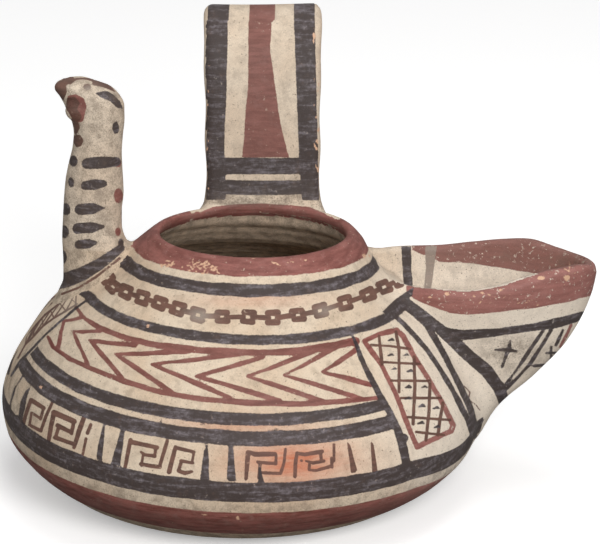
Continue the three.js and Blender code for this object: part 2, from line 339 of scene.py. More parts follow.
def field(X, Y, Z):
    """Signed distance of the clay, in mm, for flat arrays of points."""
    X, Y, Z = (np.asarray(v, np.float32) for v in (X, Y, Z))
    x, y, r, h = unsettle(X, Y, Z)
    n = noise(X, Y, Z)
    foot = smooth(2, 10, Z)
    body = sample(OUTER, r, h) - 0.32 * n * foot
    out = body.copy()
    th = np.arctan2(y, x)
    ridges = smooth(40, 70, h) * (0.2 * np.sin(h / 0.83 + 0.5 * np.sin(th * 2)) + 0.13 * np.sin(h / 0.51 + np.sin(th + 1)))
    hollow = sample(INNER, r, h) + 0.3 * n * foot + ridges * smooth(118, 110, h)
    # basin
    m = np.nonzero(box_of(X, Y, Z, (40, -40, 2), (175, 62, 116)))[0]
    bx, by, bz = X[m], Y[m], Z[m]
    flank, hb, _ = basin_fields(bx, by, bz)
    flank = flank - 0.3 * n[m]
    rim = hb - BASIN_RIM
    pouch = smax(smax(flank, rim, 4.0), 12 - bz, 3.0)
    out[m] = smin(out[m], pouch, 9.0)
    # handle
    k = np.nonzero(box_of(X, Y, Z, (-30, 20, 60), (52, 118, 210)))[0]
    out[k] = smin(out[k], handle_sdf(X[k], Y[k], Z[k])[0], 5.5)
    # bird
    b = np.nonzero(box_of(X, Y, Z, (-95, -32, 70), (-28, 32, 196)))[0]
    out[b] = smin(out[b], bird_sdf(X[b], Y[b], Z[b]) - 0.18 * n[b], 6.0)
    out = smax(out, -Z, 0.8)
    # the two hollows
    d = smax(out, -hollow, 1.3)
    well = smax(flank + BASIN_WALL + 0.5 * smooth(70, 94, hb), 46 - bz, 9.0)
    well = smax(well, -(body[m] - 0.2), 3.5)
    d[m] = smax(d[m], -well, 2.2)
    # strainer holes
    w = np.nonzero(box_of(X, Y, Z, (60, -30, 45), (115, 45, 100)))[0]
    if len(w):
        cut = np.full(len(w), 1e3, np.float32)
        for at, o in HOLES:
            p = np.stack([X[w] - at[0], Y[w] - at[1], Z[w] - at[2]])
            s = p[0] * o[0] + p[1] * o[1] + p[2] * o[2]
            q = np.sqrt(np.maximum(p[0] ** 2 + p[1] ** 2 + p[2] ** 2 - s * s, 0)) - 2.15
            cut = np.minimum(cut, np.maximum(q, np.abs(s) - 11))
        d[w] = smax(d[w], -cut, 0.8)
    return d


# ---------------------------------------------------------------- surface mesh
def surface(step=STEP):
    lo = np.array([-110.0, -110.0, -3.2])
    hi = np.array([166.0, 110.0, 203.0])
    n = np.ceil((hi - lo) / step).astype(int) + 1
    xs, ys, zs = (lo[i] + step * np.arange(n[i]) for i in range(3))
    F = np.full(tuple(n), 10.0, np.float32)
    # coarse first, to find the cells that need the full field
    c = 4
    ci = [np.arange(0, n[i] + c, c) for i in range(3)]
    CX, CY, CZ = np.meshgrid(*(lo[i] + step * ci[i] for i in range(3)), indexing="ij")
    C = field(CX.ravel(), CY.ravel(), CZ.ravel()).reshape(CX.shape)
    near = np.abs(C) < step * c * 1.75
    grown = near.copy()
    for ax in range(3):
        grown |= np.roll(grown, 1, ax) | np.roll(grown, -1, ax)
    fine = np.kron(grown, np.ones((c, c, c), bool))
    fine = np.roll(fine, (-c // 2, -c // 2, -c // 2), (0, 1, 2))[: n[0], : n[1], : n[2]]
    sign = np.kron(C, np.ones((c, c, c), np.float32))
    sign = np.roll(sign, (-c // 2, -c // 2, -c // 2), (0, 1, 2))[: n[0], : n[1], : n[2]]
    F = np.where(sign < 0, np.float32(-10), np.float32(10))
    ii = np.nonzero(fine)
    for s in range(0, len(ii[0]), 400000):
        a, b, g = ii[0][s : s + 400000], ii[1][s : s + 400000], ii[2][s : s + 400000]
        F[a, b, g] = field(xs[a], ys[b], zs[g])
    inside = F < 0
    nx, ny, nz = F.shape
    corner = lambda A, i, j, k: A[i : nx - 1 + i, j : ny - 1 + j, k : nz - 1 + k]
    count = np.zeros((nx - 1, ny - 1, nz - 1), np.int8)
    for i in (0, 1):
        for j in (0, 1):
            for k in (0, 1):
                count += corner(inside, i, j, k)
    active = (count > 0) & (count < 8)
    I, J, K = np.nonzero(active)
    index = np.full(active.shape, -1, np.int64)
    index[I, J, K] = np.arange(len(I))
    P = np.zeros((len(I), 3))
    W = np.zeros(len(I))
    cs = [(i, j, k) for i in (0, 1) for j in (0, 1) for k in (0, 1)]
    for a in cs:
        for ax in range(3):
            if a[ax]:
                continue
            b = list(a)
            b[ax] = 1
            fa = F[I + a[0], J + a[1], K + a[2]]
            fb = F[I + b[0], J + b[1], K + b[2]]
            m = (fa < 0) != (fb < 0)
            t = np.where(m, fa / np.where(m, fa - fb, 1), 0)
            for q in range(3):
                P[:, q] += np.where(m, a[q] + (t if q == ax else 0), 0)
            W += m
    P = P / W[:, None] + np.stack([I, J, K], 1)
    P = P * step + lo
    faces = []
    for ax in range(3):
        u, v = (ax + 1) % 3, (ax + 2) % 3
        sl = [slice(None)] * 3
        s0, s1 = list(sl), list(sl)
        s0[ax], s1[ax] = slice(0, -1), slice(1, None)
        a, b = inside[tuple(s0)], inside[tuple(s1)]
        E = np.argwhere(a != b)
        E = E[(E[:, u] > 0) & (E[:, v] > 0) & (E[:, u] < F.shape[u] - 1) & (E[:, v] < F.shape[v] - 1)]
        ins = a[tuple(E.T)]
        def cell(du, dv):
            c_ = E.copy()
            c_[:, u] += du
            c_[:, v] += dv
            return index[tuple(c_.T)]
        q = np.stack([cell(-1, -1), cell(0, -1), cell(0, 0), cell(-1, 0)], 1)
        q[~ins] = q[~ins][:, ::-1]
        faces.append(q)
    Q = np.concatenate(faces)
    return P, Q


def gradient(P, e=0.35):
    g = np.empty_like(P)
    for ax in range(3):
        a, b = P.copy(), P.copy()
        a[:, ax] += e
        b[:, ax] -= e
        g[:, ax] = (field(*a.T) - field(*b.T)) / (2 * e)
    return g


def settle_on(P, rounds=2):
    for _ in range(rounds):
        d = field(*P.T)
        g = gradient(P)
        n2 = np.maximum((g * g).sum(1), 0.2)
        P = P - g * np.clip(d / n2, -1.2, 1.2)[:, None]
    return P


def relax(P, Q, amount=0.5):
    """Evens the spacing: each point moves along the surface towards its neighbours' mean."""
    E = np.concatenate([Q[:, [0, 1]], Q[:, [1, 2]], Q[:, [2, 3]], Q[:, [3, 0]]])
    n = len(P)
    S = np.zeros_like(P)
    cnt = np.bincount(E[:, 0], minlength=n) + np.bincount(E[:, 1], minlength=n)
    for ax in range(3):
        S[:, ax] = np.bincount(E[:, 0], P[E[:, 1], ax], n) + np.bincount(E[:, 1], P[E[:, 0], ax], n)
    M = S / np.maximum(cnt, 1)[:, None]
    g = gradient(P)
    g /= np.linalg.norm(g, axis=1, keepdims=True) + 1e-9
    move = (M - P) * amount
    move -= g * (move * g).sum(1)[:, None]
    return P + move


def build(step=STEP):
    P, Q = surface(step)
    P = settle_on(P, 1)
    P = relax(P, Q)
    P = settle_on(P, 1)
    P = relax(P, Q, 0.4)
    P = settle_on(P, 1)
    return P, Q


# ---- paint starts
# ------------------------------------------------------ where the painter drew
# The strokes on the front are laid out on the picture plane of the camera that
# looks at the vase from the front, in its own units (600 wide, 544 high).
TARGET = np.array([27.53, 0.0, 94.49])
ELEV, DIST, FOCAL = math.radians(19.88), 1500.0, 3409.1
UNIT = 0.44  # mm for one picture unit at the vase
MOST = 192000  # triangles


def project(P):
    d = P - TARGET
    se, ce = math.sin(ELEV), math.cos(ELEV)
    depth = DIST + d[:, 1] * ce - d[:, 2] * se
    return 300 + d[:, 0] * FOCAL / depth, 272 - (d[:, 1] * se + d[:, 2] * ce) * FOCAL / depth


def stroke(px, py, pts, width):
    """Distance in mm to a painted line; width is one number or one for each point, in picture units."""
    pts = np.array(pts, float)
    w = np.full(len(pts), float(width)) if np.isscalar(width) else np.array(width, float)
    best = np.full(len(px), 400.0)
    lo, hi = pts.min(0) - 30, pts.max(0) + 30
    m = np.nonzero((px > lo[0]) & (px < hi[0]) & (py > lo[1]) & (py < hi[1]))[0]
    if not len(m):
        return best
    x, y = px[m], py[m]
    d = np.full(len(m), 400.0)
    for i in range(len(pts) - 1):
        ax, ay = pts[i]
        ex, ey = pts[i + 1] - pts[i]
        t = np.clip(((x - ax) * ex + (y - ay) * ey) / (ex * ex + ey * ey + 1e-9), 0, 1)
        d = np.minimum(d, np.hypot(x - ax - t * ex, y - ay - t * ey) - (w[i] + (w[i + 1] - w[i]) * t) / 2)
    best[m] = d * UNIT
    return best


def patch(px, py, pts):
    """Distance in mm to a filled outline, negative inside."""
    pts = np.array(pts, float)
    best = np.full(len(px), 400.0)
    lo, hi = pts.min(0) - 30, pts.max(0) + 30
    m = np.nonzero((px > lo[0]) & (px < hi[0]) & (py > lo[1]) & (py < hi[1]))[0]
    if not len(m):
        return best
    x, y = px[m], py[m]
    d = np.full(len(m), 1e9)
    inside = np.zeros(len(m), bool)
    for i in range(len(pts)):
        ax, ay = pts[i]
        bx, by = pts[(i + 1) % len(pts)]
        ex, ey = bx - ax, by - ay
        t = np.clip(((x - ax) * ex + (y - ay) * ey) / (ex * ex + ey * ey + 1e-9), 0, 1)
        d = np.minimum(d, np.hypot(x - ax - t * ex, y - ay - t * ey))
        cross = ((ay <= y) & (by > y)) | ((by <= y) & (ay > y))
        inside ^= cross & (x < ax + (y - ay) * ex / (ey if abs(ey) > 1e-9 else 1e-9))
    best[m] = np.where(inside, -d, d) * UNIT
    return best


def blob(px, py, at, size, turn=0.0):
    """Distance in mm to a filled oval; size is its full width and height."""
    c, s = math.cos(math.radians(turn)), math.sin(math.radians(turn))
    u = ((px - at[0]) * c + (py - at[1]) * s) / (size[0] / 2)
    v = (-(px - at[0]) * s + (py - at[1]) * c) / (size[1] / 2)
    return np.clip((np.hypot(u, v) - 1) * min(size) / 2 * UNIT, -400, 400)


def band(h, lo, hi):
    return np.maximum(lo - h, h - hi)


def join(*ds):
    out = ds[0] if ds else np.float64(400.0)
    for d in ds[1:]:
        out = np.minimum(out, d)
    return out


# Rings on the body, by height on the wall: (from, to)
DARK_RINGS = [(103.6, 108.0), (88.2, 91.4), (61.1, 65.6), (53.6, 59.1), (30.5, 39.4)]
RED_RINGS = [(10.4, 25.3), (110.5, 130.0)]

MEANDERS = [  # brush strokes of the six meanders: points, width
    ([(22.5, 427), (26, 414), (30, 402)], 2.8), ([(31, 400), (43.5, 408)], 3.4), ([(43.5, 408), (40.5, 419)], 2.2), ([(40.5, 418.5), (32, 413)], 2.2),
    ([(31.5, 413), (29.5, 425)], 2.0), ([(29.5, 425), (41, 431)], 2.4), ([(41, 430.5), (46, 416), (53, 401)], 2.2),
    ([(48.5, 441), (51.5, 424), (54, 412)], 3.4), ([(54, 412.5), (74, 421.5)], 4.2), ([(74, 421), (71.5, 433.5)], 2.8), ([(71.5, 432.5), (57.5, 425.5)], 3.2),
    ([(58, 429), (55.5, 437.5)], 2.4), ([(55, 437.5), (73.5, 444)], 3.2), ([(74, 447.5), (79, 431), (84, 417.5)], (2.6, 3.6, 3.4)),
    ([(125, 467.5), (127.5, 455), (130.5, 440)], 3.0), ([(131, 442), (157, 447.5)], 3.4), ([(156, 448), (154.5, 456.5)], 2.3), ([(154.5, 456), (145, 454.8), (141, 452)], (3.2, 2.8, 2.0)),
    ([(143, 456), (141.5, 465.5)], 2.2), ([(141, 464), (151, 466), (160, 467)], 3.1), ([(159.5, 467), (163, 455), (167.5, 440)], 2.7),
    ([(169, 472), (172, 460), (175.5, 447)], (3.8, 3.2, 2.6)), ([(175.5, 447.5), (194, 452)], 2.7), ([(194, 452), (192, 463)], 2.1), ([(193, 463), (181, 461)], 2.4),
    ([(181, 463), (178.5, 470.5)], 2.5), ([(178.5, 471), (185, 473), (192, 471.5)], (2.4, 3.2, 2.2)),
    ([(246, 479), (247, 465), (248, 452.5)], (3.2, 3.8, 3.6)), ([(249, 452), (255, 454.3), (275, 454)], (2.6, 3.8, 3.4)), ([(276, 455), (276, 464)], 2.2), ([(276, 463.5), (266, 463), (257.5, 462)], 2.3),
    ([(260, 464), (258.8, 478)], 2.5), ([(261, 472.8), (280, 473.5)], 2.2), ([(280.5, 473.5), (284, 463), (285.5, 449)], 2.3),
    ([(295, 477), (295.5, 462), (297, 453)], 2.8), ([(297, 453.3), (305, 454.5), (322, 451.5)], (2.6, 3.4, 3.0)), ([(320.5, 453), (321.5, 461)], 2.2), ([(324, 461), (313, 463), (306, 461)], (2.2, 2.8, 2.0)),
    ([(309.5, 464), (309, 469.5)], 2.5), ([(309, 470), (316, 470.5), (332, 466)], 2.2), ([(332, 467), (331.6, 458)], 2.2), ([(334, 461), (334, 444)], 2.2),
    ([(301.2, 460.5), (301.8, 460.8)], 2.2), ([(91, 424.5), (87.5, 433)], 2.4), ([(86, 439), (82, 458)], 2.1),
]
WEDGES = [
    [(103.2, 424), (105, 424), (102, 462), (95.5, 459)],
    [(122, 425), (125.5, 425), (120, 469), (110.5, 465)],
    [(205, 441), (208, 441), (209.5, 482), (200, 481)],
    [(229, 441), (232.5, 441), (236.5, 482), (226.5, 481)],
]
PALE_WEDGES = [
    [(347, 442), (350, 444), (357.5, 472), (351, 473)],
    [(370.5, 441), (373.5, 444), (378, 472), (372, 473)],
]
CHEVRONS = [  # point, end of the upper arm, end of the lower arm
    ((63, 321), (84, 317), (58, 349)),
    ((72, 331), (100, 331), (88, 364)),
    ((89, 340), (135, 345), (122, 378)),
    ((115, 354), (188, 351), (174, 394)),
    ((151, 364), (246, 353), (230, 398)),
    ((196, 376), (263, 357), (280, 401)),
    ((247, 376), (314, 351), (324, 402)),
    ((284, 375), (336, 347), (362, 399)),
    ((322, 372), (357, 349), (371, 385)),
]
CHAIN = [(101, 268), (107, 277), (113, 287), (126, 292), (142, 298), (159, 303), (178, 309), (198, 315), (222, 317), (248, 317), (273, 318), (298, 315), (320, 311), (345, 303), (368, 295), (384, 287), (397, 281)]


def front_body(px, py):
    """Paint on the front of the body: dark, red and brown."""
    dark, red, brown = [], [], []
    # fret
    for pts, w in MEANDERS:
        brown.append(stroke(px, py, pts, np.asarray(w) * 1.25 + 0.3))
    for p in WEDGES:
        dark.append(patch(px, py, p))
    for p in PALE_WEDGES:
        brown.append(patch(px, py, p))
    dark.append(patch(px, py, [(31, 386), (27, 398), (22.5, 420), (17, 426), (20, 402), (25, 391)]))
    dark.append(stroke(px, py, [(24, 374), (15, 388), (11, 402), (10, 411)], (1.5, 2, 2.4, 2)))
    dark.append(stroke(px, py, [(259, 464), (260, 472), (261, 482)], (1.2, 3.2, 5.5)))
    # chevrons between two red-brown lines
    red.append(stroke(px, py, [(76, 307), (84, 318), (98, 327), (120, 336), (150, 344), (200, 350.5), (260, 353), (300, 351), (335, 345.5), (356, 341)], (3, 4, 5.5, 6, 6.5, 7, 6.5, 7, 8, 8)))
    red.append(stroke(px, py, [(48, 337), (53, 347), (70, 359), (90, 368), (120, 380), (160, 392), (200, 399), (250, 403), (300, 404), (340, 401.5), (377, 398)], (3, 4, 5, 5, 5.5, 5.5, 5.5, 6, 6, 5.5, 5)))
    for k, (p, up, down) in enumerate(CHEVRONS):
        p, up, down = (np.array(v, float) for v in (p, up, down))
        w = 4.6 if k > 1 else 3.4
        red.append(stroke(px, py, [p, p * 0.62 + up * 0.38 + [0, 0.8], up], (2.6, w, w + 0.8)))
        red.append(stroke(px, py, [p + [1, 0.5], p * 0.6 + down * 0.4 + [0, -0.4], down], (3.2, w + 0.6, w + 0.4)))
    # chain of linked blots
    for k, (x, y) in enumerate(CHAIN):
        nx = CHAIN[min(k + 1, len(CHAIN) - 1)]
        pv = CHAIN[max(k - 1, 0)]
        turn = math.degrees(math.atan2(nx[1] - pv[1], nx[0] - pv[0]))
        c, s = math.cos(math.radians(turn)), math.sin(math.radians(turn))
        tight = min(1.0, math.hypot(nx[0] - pv[0], nx[1] - pv[1]) / 48 + 0.18)
        for side in (-1, 1):
            o = side * (4.5 + 0.4 * math.sin(k * 2.1))
            slip = 0.8 * math.sin(k * 1.7 + side)
            cx, cy = x - o * s + slip * c, y + o * c + slip * s
            half = 4.9 * tight
            brown.append(stroke(px, py, [(cx - half * c, cy - half * s - 0.4), (cx + half * c, cy + half * s + 0.4 * math.sin(k * 3.0))], (5.8, 6.6)))
        if k + 1 < len(CHAIN):
            brown.append(stroke(px, py, [(x + 4.5 * c, y + 4.5 * s), (nx[0] - 4.5 * c, nx[1] - 4.5 * s)], 5.2))
    # the dark edge of the painted panels, and the framed lattice
    dark.append(stroke(px, py, [(352, 334), (357, 346), (361, 358), (370, 377), (380, 396), (390, 413), (397, 428), (402, 442), (407, 466)], (1.6, 3.5, 5, 5.5, 6.5, 7, 7.5, 8.5, 9)))
    dark.append(blob(px, py, (404, 438), (9, 8)))
    frame_pts = [(364, 341), (380, 334), (396, 330), (403, 336), (413, 355), (427, 377), (442, 402), (453, 425), (451, 431), (438, 437), (417, 447), (409, 428), (396, 394), (381, 364), (364, 341)]
    red.append(stroke(px, py, frame_pts, (4.6, 5, 5.4, 5.4, 5.2, 5, 5.2, 5.6, 5.6, 5, 5.4, 5, 5, 4.6, 4.6)))
    for pts in ([(379, 336), (382, 364)], [(396, 332), (399, 350), (399, 392)], [(414, 357), (415, 386), (413, 424)], [(430, 383), (429, 412), (426, 440)], [(443, 403), (440, 420), (438, 435)]):
        brown.append(stroke(px, py, pts, 3.3))
    for pts in ([(371, 345), (390, 346), (410, 349)], [(380, 362), (420, 364)], [(391, 380.5), (430, 381)], [(401, 398), (441, 398)], [(408, 417), (450, 420)], [(416, 432), (444, 435)]):
        brown.append(stroke(px, py, pts, 2.6))
    for x, y in ((391, 340), (391, 355), (406, 355), (394, 369), (410, 371), (408, 387), (424, 387), (408, 398.5), (422, 406), (436, 408), (421, 423), (437, 427)):
        dark.append(stroke(px, py, [(x - 3, y + 0.7), (x + 1, y - 0.6), (x + 3, y + 0.4)], (1.2, 3.0, 1.4)))
    # stripes that run down beside the basin
    dark.append(stroke(px, py, [(394, 315), (404, 324), (416, 337), (428, 351), (438, 366), (449, 384), (459, 402), (468, 420), (474, 436)], (4.5, 5, 5, 5, 5, 5.2, 5.6, 6, 6)))
    dark.append(stroke(px, py, [(402, 303), (415, 313), (427, 325), (437, 342), (446, 358), (455, 376), (463, 392), (471, 410), (475, 426)], (8, 7.5, 7, 6.5, 6.2, 6, 6.5, 6.5, 6)))
    dark.append(stroke(px, py, [(406, 301), (424, 316), (439, 328), (453, 341), (468, 355), (487, 371), (499, 388), (504, 402)], (8, 10, 11, 12, 12.5, 13, 12, 11)))
    dark.append(patch(px, py, [(414, 287), (412, 296), (402, 305), (388, 313), (382, 312), (392, 302), (404, 293)]))
    # thin scratched doodle beside the stripes
    brown.append(stroke(px, py, [(464, 386), (470, 392), (468, 400), (475, 404), (481, 411)], 1.3))
    # net panel at the left edge
    dark.append(stroke(px, py, [(87, 300), (76, 308), (62, 320), (46, 334), (31, 350), (20, 362), (11, 376)], (2.0, 2.4, 2.2, 2.4, 2.6, 2.6, 2.4)))
    dark.append(stroke(px, py, [(20, 342), (12, 359), (8, 374)], 2.2))
    outer = [(77, 290), (67, 298), (56, 306), (45, 315), (36, 325), (27, 335)]
    inner = [(77, 304), (66, 311), (54, 318), (43, 326), (33, 337), (25, 345), (18, 358)]
    for pts, w in (([(83, 283), (70, 289), (58, 297), (48, 306), (39, 316)], 1.7), (outer, 1.8), (inner, 1.8), ([(76.5, 291), (75.5, 305)], 1.8)):
        brown.append(stroke(px, py, pts, w))
    a, b = np.array(outer, float), np.array(inner, float)
    n = 6
    for k in range(n):
        at = lambda line, t: np.array([np.interp(t * (len(line) - 1), np.arange(len(line)), line[:, i]) for i in (0, 1)])
        brown.append(stroke(px, py, [at(a, k / n), at(b, (k + 1) / n)], 1.3))
        brown.append(stroke(px, py, [at(b, k / n), at(a, (k + 1) / n)], 1.3))
    return join(*dark), join(*red), join(*brown)


def bird_marks(px, py):
    dark, red, brown = [], [], []
    brown.append(patch(px, py, [(53, 84), (60, 77), (72, 76), (77, 80), (70, 85), (66, 84), (67, 92), (63, 101), (58, 95), (54, 92)]))
    red.append(patch(px, py, [(68, 96), (76, 94), (84, 98), (87, 106), (85, 113), (83, 121), (78, 123), (71, 116), (66, 108)]))
    brown.append(patch(px, py, [(67, 98), (75, 96.5), (80, 103), (77, 109), (82, 116), (79, 122), (71, 117), (66, 108)]))
    brown.append(stroke(px, py, [(76, 79), (84, 78.5), (97, 80.5)], (2.6, 2.0, 2.8)))
    brown.append(stroke(px, py, [(74, 121), (77, 127), (76, 132)], (7, 6, 4)))
    dark.append(patch(px, py, [(95, 93), (101, 91.5), (107, 90.5), (114, 94), (120, 101), (123, 109), (117, 108), (109, 101), (101, 98)]))
    brown.append(patch(px, py, [(93, 81), (103, 81.5), (111, 86), (118, 94), (112, 91), (105, 88), (98, 86), (92, 85)]))
    brown.append(blob(px, py, (87, 87), (8, 7), 20))
    dark.append(patch(px, py, [(112.5, 123), (117, 120.5), (119.5, 127), (118.5, 133), (114.5, 134), (112, 129)]))
    brown.append(patch(px, py, [(73.5, 135.5), (80, 134.5), (84, 140), (81.5, 146), (76.5, 147.5), (73, 142)]))
    # strokes across the neck in pairs: the long one, and the short one on the bird's breast
    for y, x0, x1, w, blot in (
        (162.5, 87, 116, (11, 12, 10), (73.5, 161, 8, 11)), (184.5, 85, 104, (9, 11, 7), (71, 182, 6.5, 10)),
        (208.5, 80, 104, (11, 11, 3), (66, 209, 8.5, 13)), (227.5, 78, 103, (11, 11, 4), (64.5, 231.5, 8.5, 13)), (243.5, 79, 96, (9, 10, 4), (63, 257, 8, 13)),
    ):
        dark.append(stroke(px, py, [(x0, y + 1), (x0 + 0.55 * (x1 - x0), y), (x1, y - 0.8)], w))
        dark.append(blob(px, py, blot[:2], blot[2:], -8))
    red.append(blob(px, py, (118.6, 195.6), (9, 15)))
    red.append(blob(px, py, (118, 163), (7, 9)))
    red.append(blob(px, py, (118, 232), (6, 9)))
    dark.append(blob(px, py, (121, 243), (6, 10)))
    # band round the foot of the neck, with a thin line under it
    dark.append(stroke(px, py, [(56, 282), (68, 279.5), (82, 274), (98, 265), (112, 255), (121, 248)], (16, 15, 14, 12, 9, 8)))
    brown.append(stroke(px, py, [(62, 294), (78, 288), (96, 277), (110, 266), (120, 258)], 2.4))
    return join(*dark), join(*red), join(*brown)


def basin_marks(px, py):
    dark, red, brown = [], [], []
    low = [(406, 293), (414, 299), (436, 308), (450, 313), (471, 315), (499, 312), (534, 308), (569, 302), (600, 293)]
    red.append(patch(px, py, low + [(612, 225), (500, 225), (430, 235), (408, 262)]))
    dark.append(patch(px, py, [(436, 322), (450, 328.5), (464, 330), (499, 328), (534, 323), (562, 317), (590, 309), (596, 315), (581, 320), (562, 327), (541, 330), (499, 336), (467, 340), (453, 338), (440, 333)]))
    for pts, w in (
        ([(509, 350), (510, 341)], (4, 2.5)), ([(509, 350), (495, 350)], (4, 2)), ([(509, 350), (517, 351.5)], (4, 2.5)), ([(508, 350), (502, 367)], (4.6, 3)),
        ([(543, 331), (531, 348), (518, 368), (503, 388)], (3.2, 3.6, 3.6, 3.4)), ([(551, 330), (541, 347), (530, 364), (517, 378), (505, 390)], (3.2, 3.6, 3.6, 3.8, 3.6)),
        ([(546, 353), (556, 353)], 3.0), ([(551, 347), (551, 359)], 3.2), ([(534, 366), (544, 365)], 3.0), ([(563, 330), (556, 345)], 3.2),
    ):
        dark.append(stroke(px, py, pts, w))
    red.append(stroke(px, py, [(571, 325), (566, 336), (560, 347)], (3, 3.4, 2)))
    return join(*dark), join(*red), join(*brown)


def basin_inside(px, py, hb):
    dark, red, brown = [], [], []
    red.append(patch(px, py, [(411, 225), (412, 250), (420, 253.5), (431, 256.5), (439, 262), (470, 263), (506, 269), (534, 273), (552, 277), (575, 280), (612, 275), (612, 225)]))
    red.append(np.maximum(86.0 - hb, patch(px, py, [(400, 286), (420, 291), (450, 292.5), (480, 292), (510, 288.5), (540, 283.5), (565, 272), (584, 262), (612, 255), (612, 330), (400, 330)])))
    dark.append(patch(px, py, [(401, 246), (411.5, 246), (411, 270), (413, 288), (404, 286)]))
    brown.append(patch(px, py, [(425, 246), (437, 246), (434, 268), (431, 289), (424, 289), (426, 268)]))
    return join(*dark), join(*red), join(*brown)


def handle_marks(px, py, x, s, front):
    """x is across the strap in mm; s, the length along it, is not used; front is 1 where the face is seen from the
    front.
    """
    # borders and the tongue, as seen from the front
    f_dark = join(
        patch(px, py, [(196, -20), (228, -20), (228, 20), (227, 60), (226, 110), (224, 150), (226, 200), (196, 200)]),
        patch(px, py, [(293, -20), (326, -20), (326, 200), (302, 200), (299, 158), (297, 100), (295, 50)]) * 1.0,
        patch(px, py, [(212, 157.5), (306, 158), (306, 174), (260, 174.5), (212, 174)]),
        patch(px, py, [(212, 180), (310, 180.5), (310, 194), (260, 195), (212, 194)]),
    )
    paler = join(
        patch(px, py, [(314, -20), (330, -20), (330, 200), (319, 200), (318, 150), (316, 80)]),
        patch(px, py, [(190, -20), (206, -20), (205.5, 60), (206, 150), (206, 200), (190, 200)]),
    )
    f_dark = np.maximum(f_dark, -paler)
    f_red = patch(px, py, [(248, -20), (274, -20), (272, 20), (270, 45), (274, 80), (279, 115), (284, 140), (289, 157.5), (242, 157.5), (244, 140), (246, 110), (248, 80), (248.5, 40)])
    r_dark = join(band(x, -24.6, -15.0), band(x, 14.0, 23.4))
    r_red = band(x, -6.0, 5.6)
    return np.where(front, f_dark, r_dark), np.where(front, f_red, r_red), np.full(len(x), 400.0)


def back_body(x, y, h):
    """Plain continuation round the hidden rear: lines, chevrons, a fret and the chain, at a steady pace."""
    th = np.degrees(np.arctan2(y, x)) % 360  # 0 at the basin, 90 at the handle, 180 at the bird
    r = np.hypot(x, y)
    per = np.radians(1.0) * r  # mm for one degree
    red = join(band(h, 84.2, 87.2), band(h, 66.6, 69.2))
    # chevrons pointing the same way round
    c = (th + (h - 76) * np.sign(h - 76) * 1.35) % 15.0
    line = (np.abs(c - 7.5) - 1.35) * per * 0.75
    red = join(red, np.maximum(line, band(h, 66.6, 87.2)))
    # chain
    c = (th % 11.5) - 5.75
    a = np.hypot(c * per / 3.6, (np.abs(h - 97.2) - 2.7) / 1.7)
    brown = join((a - 1) * 1.6, np.maximum(np.abs(h - 97.2) - 1.5, (5.75 - np.abs(c)) * per - 3.2))
    # upright wedges in the fret band
    c = (th % 24.0) - 12.0
    hw = 0.55 + (53 - h) * 0.1
    pair = np.abs(np.abs(c) * per - 5.0) - hw
    dark = np.maximum(pair, band(h, 39.0, 53.8))
    edges = np.full(len(th), 400.0)
    for edge, half in ((22.0, 2.4), (172.5, 1.5)):
        line = np.abs((th - edge + 180) % 360 - 180) * per - half
        edges = np.minimum(edges, np.maximum(line, band(h, 39.0, 89.0)))
    return dark, red, brown, edges


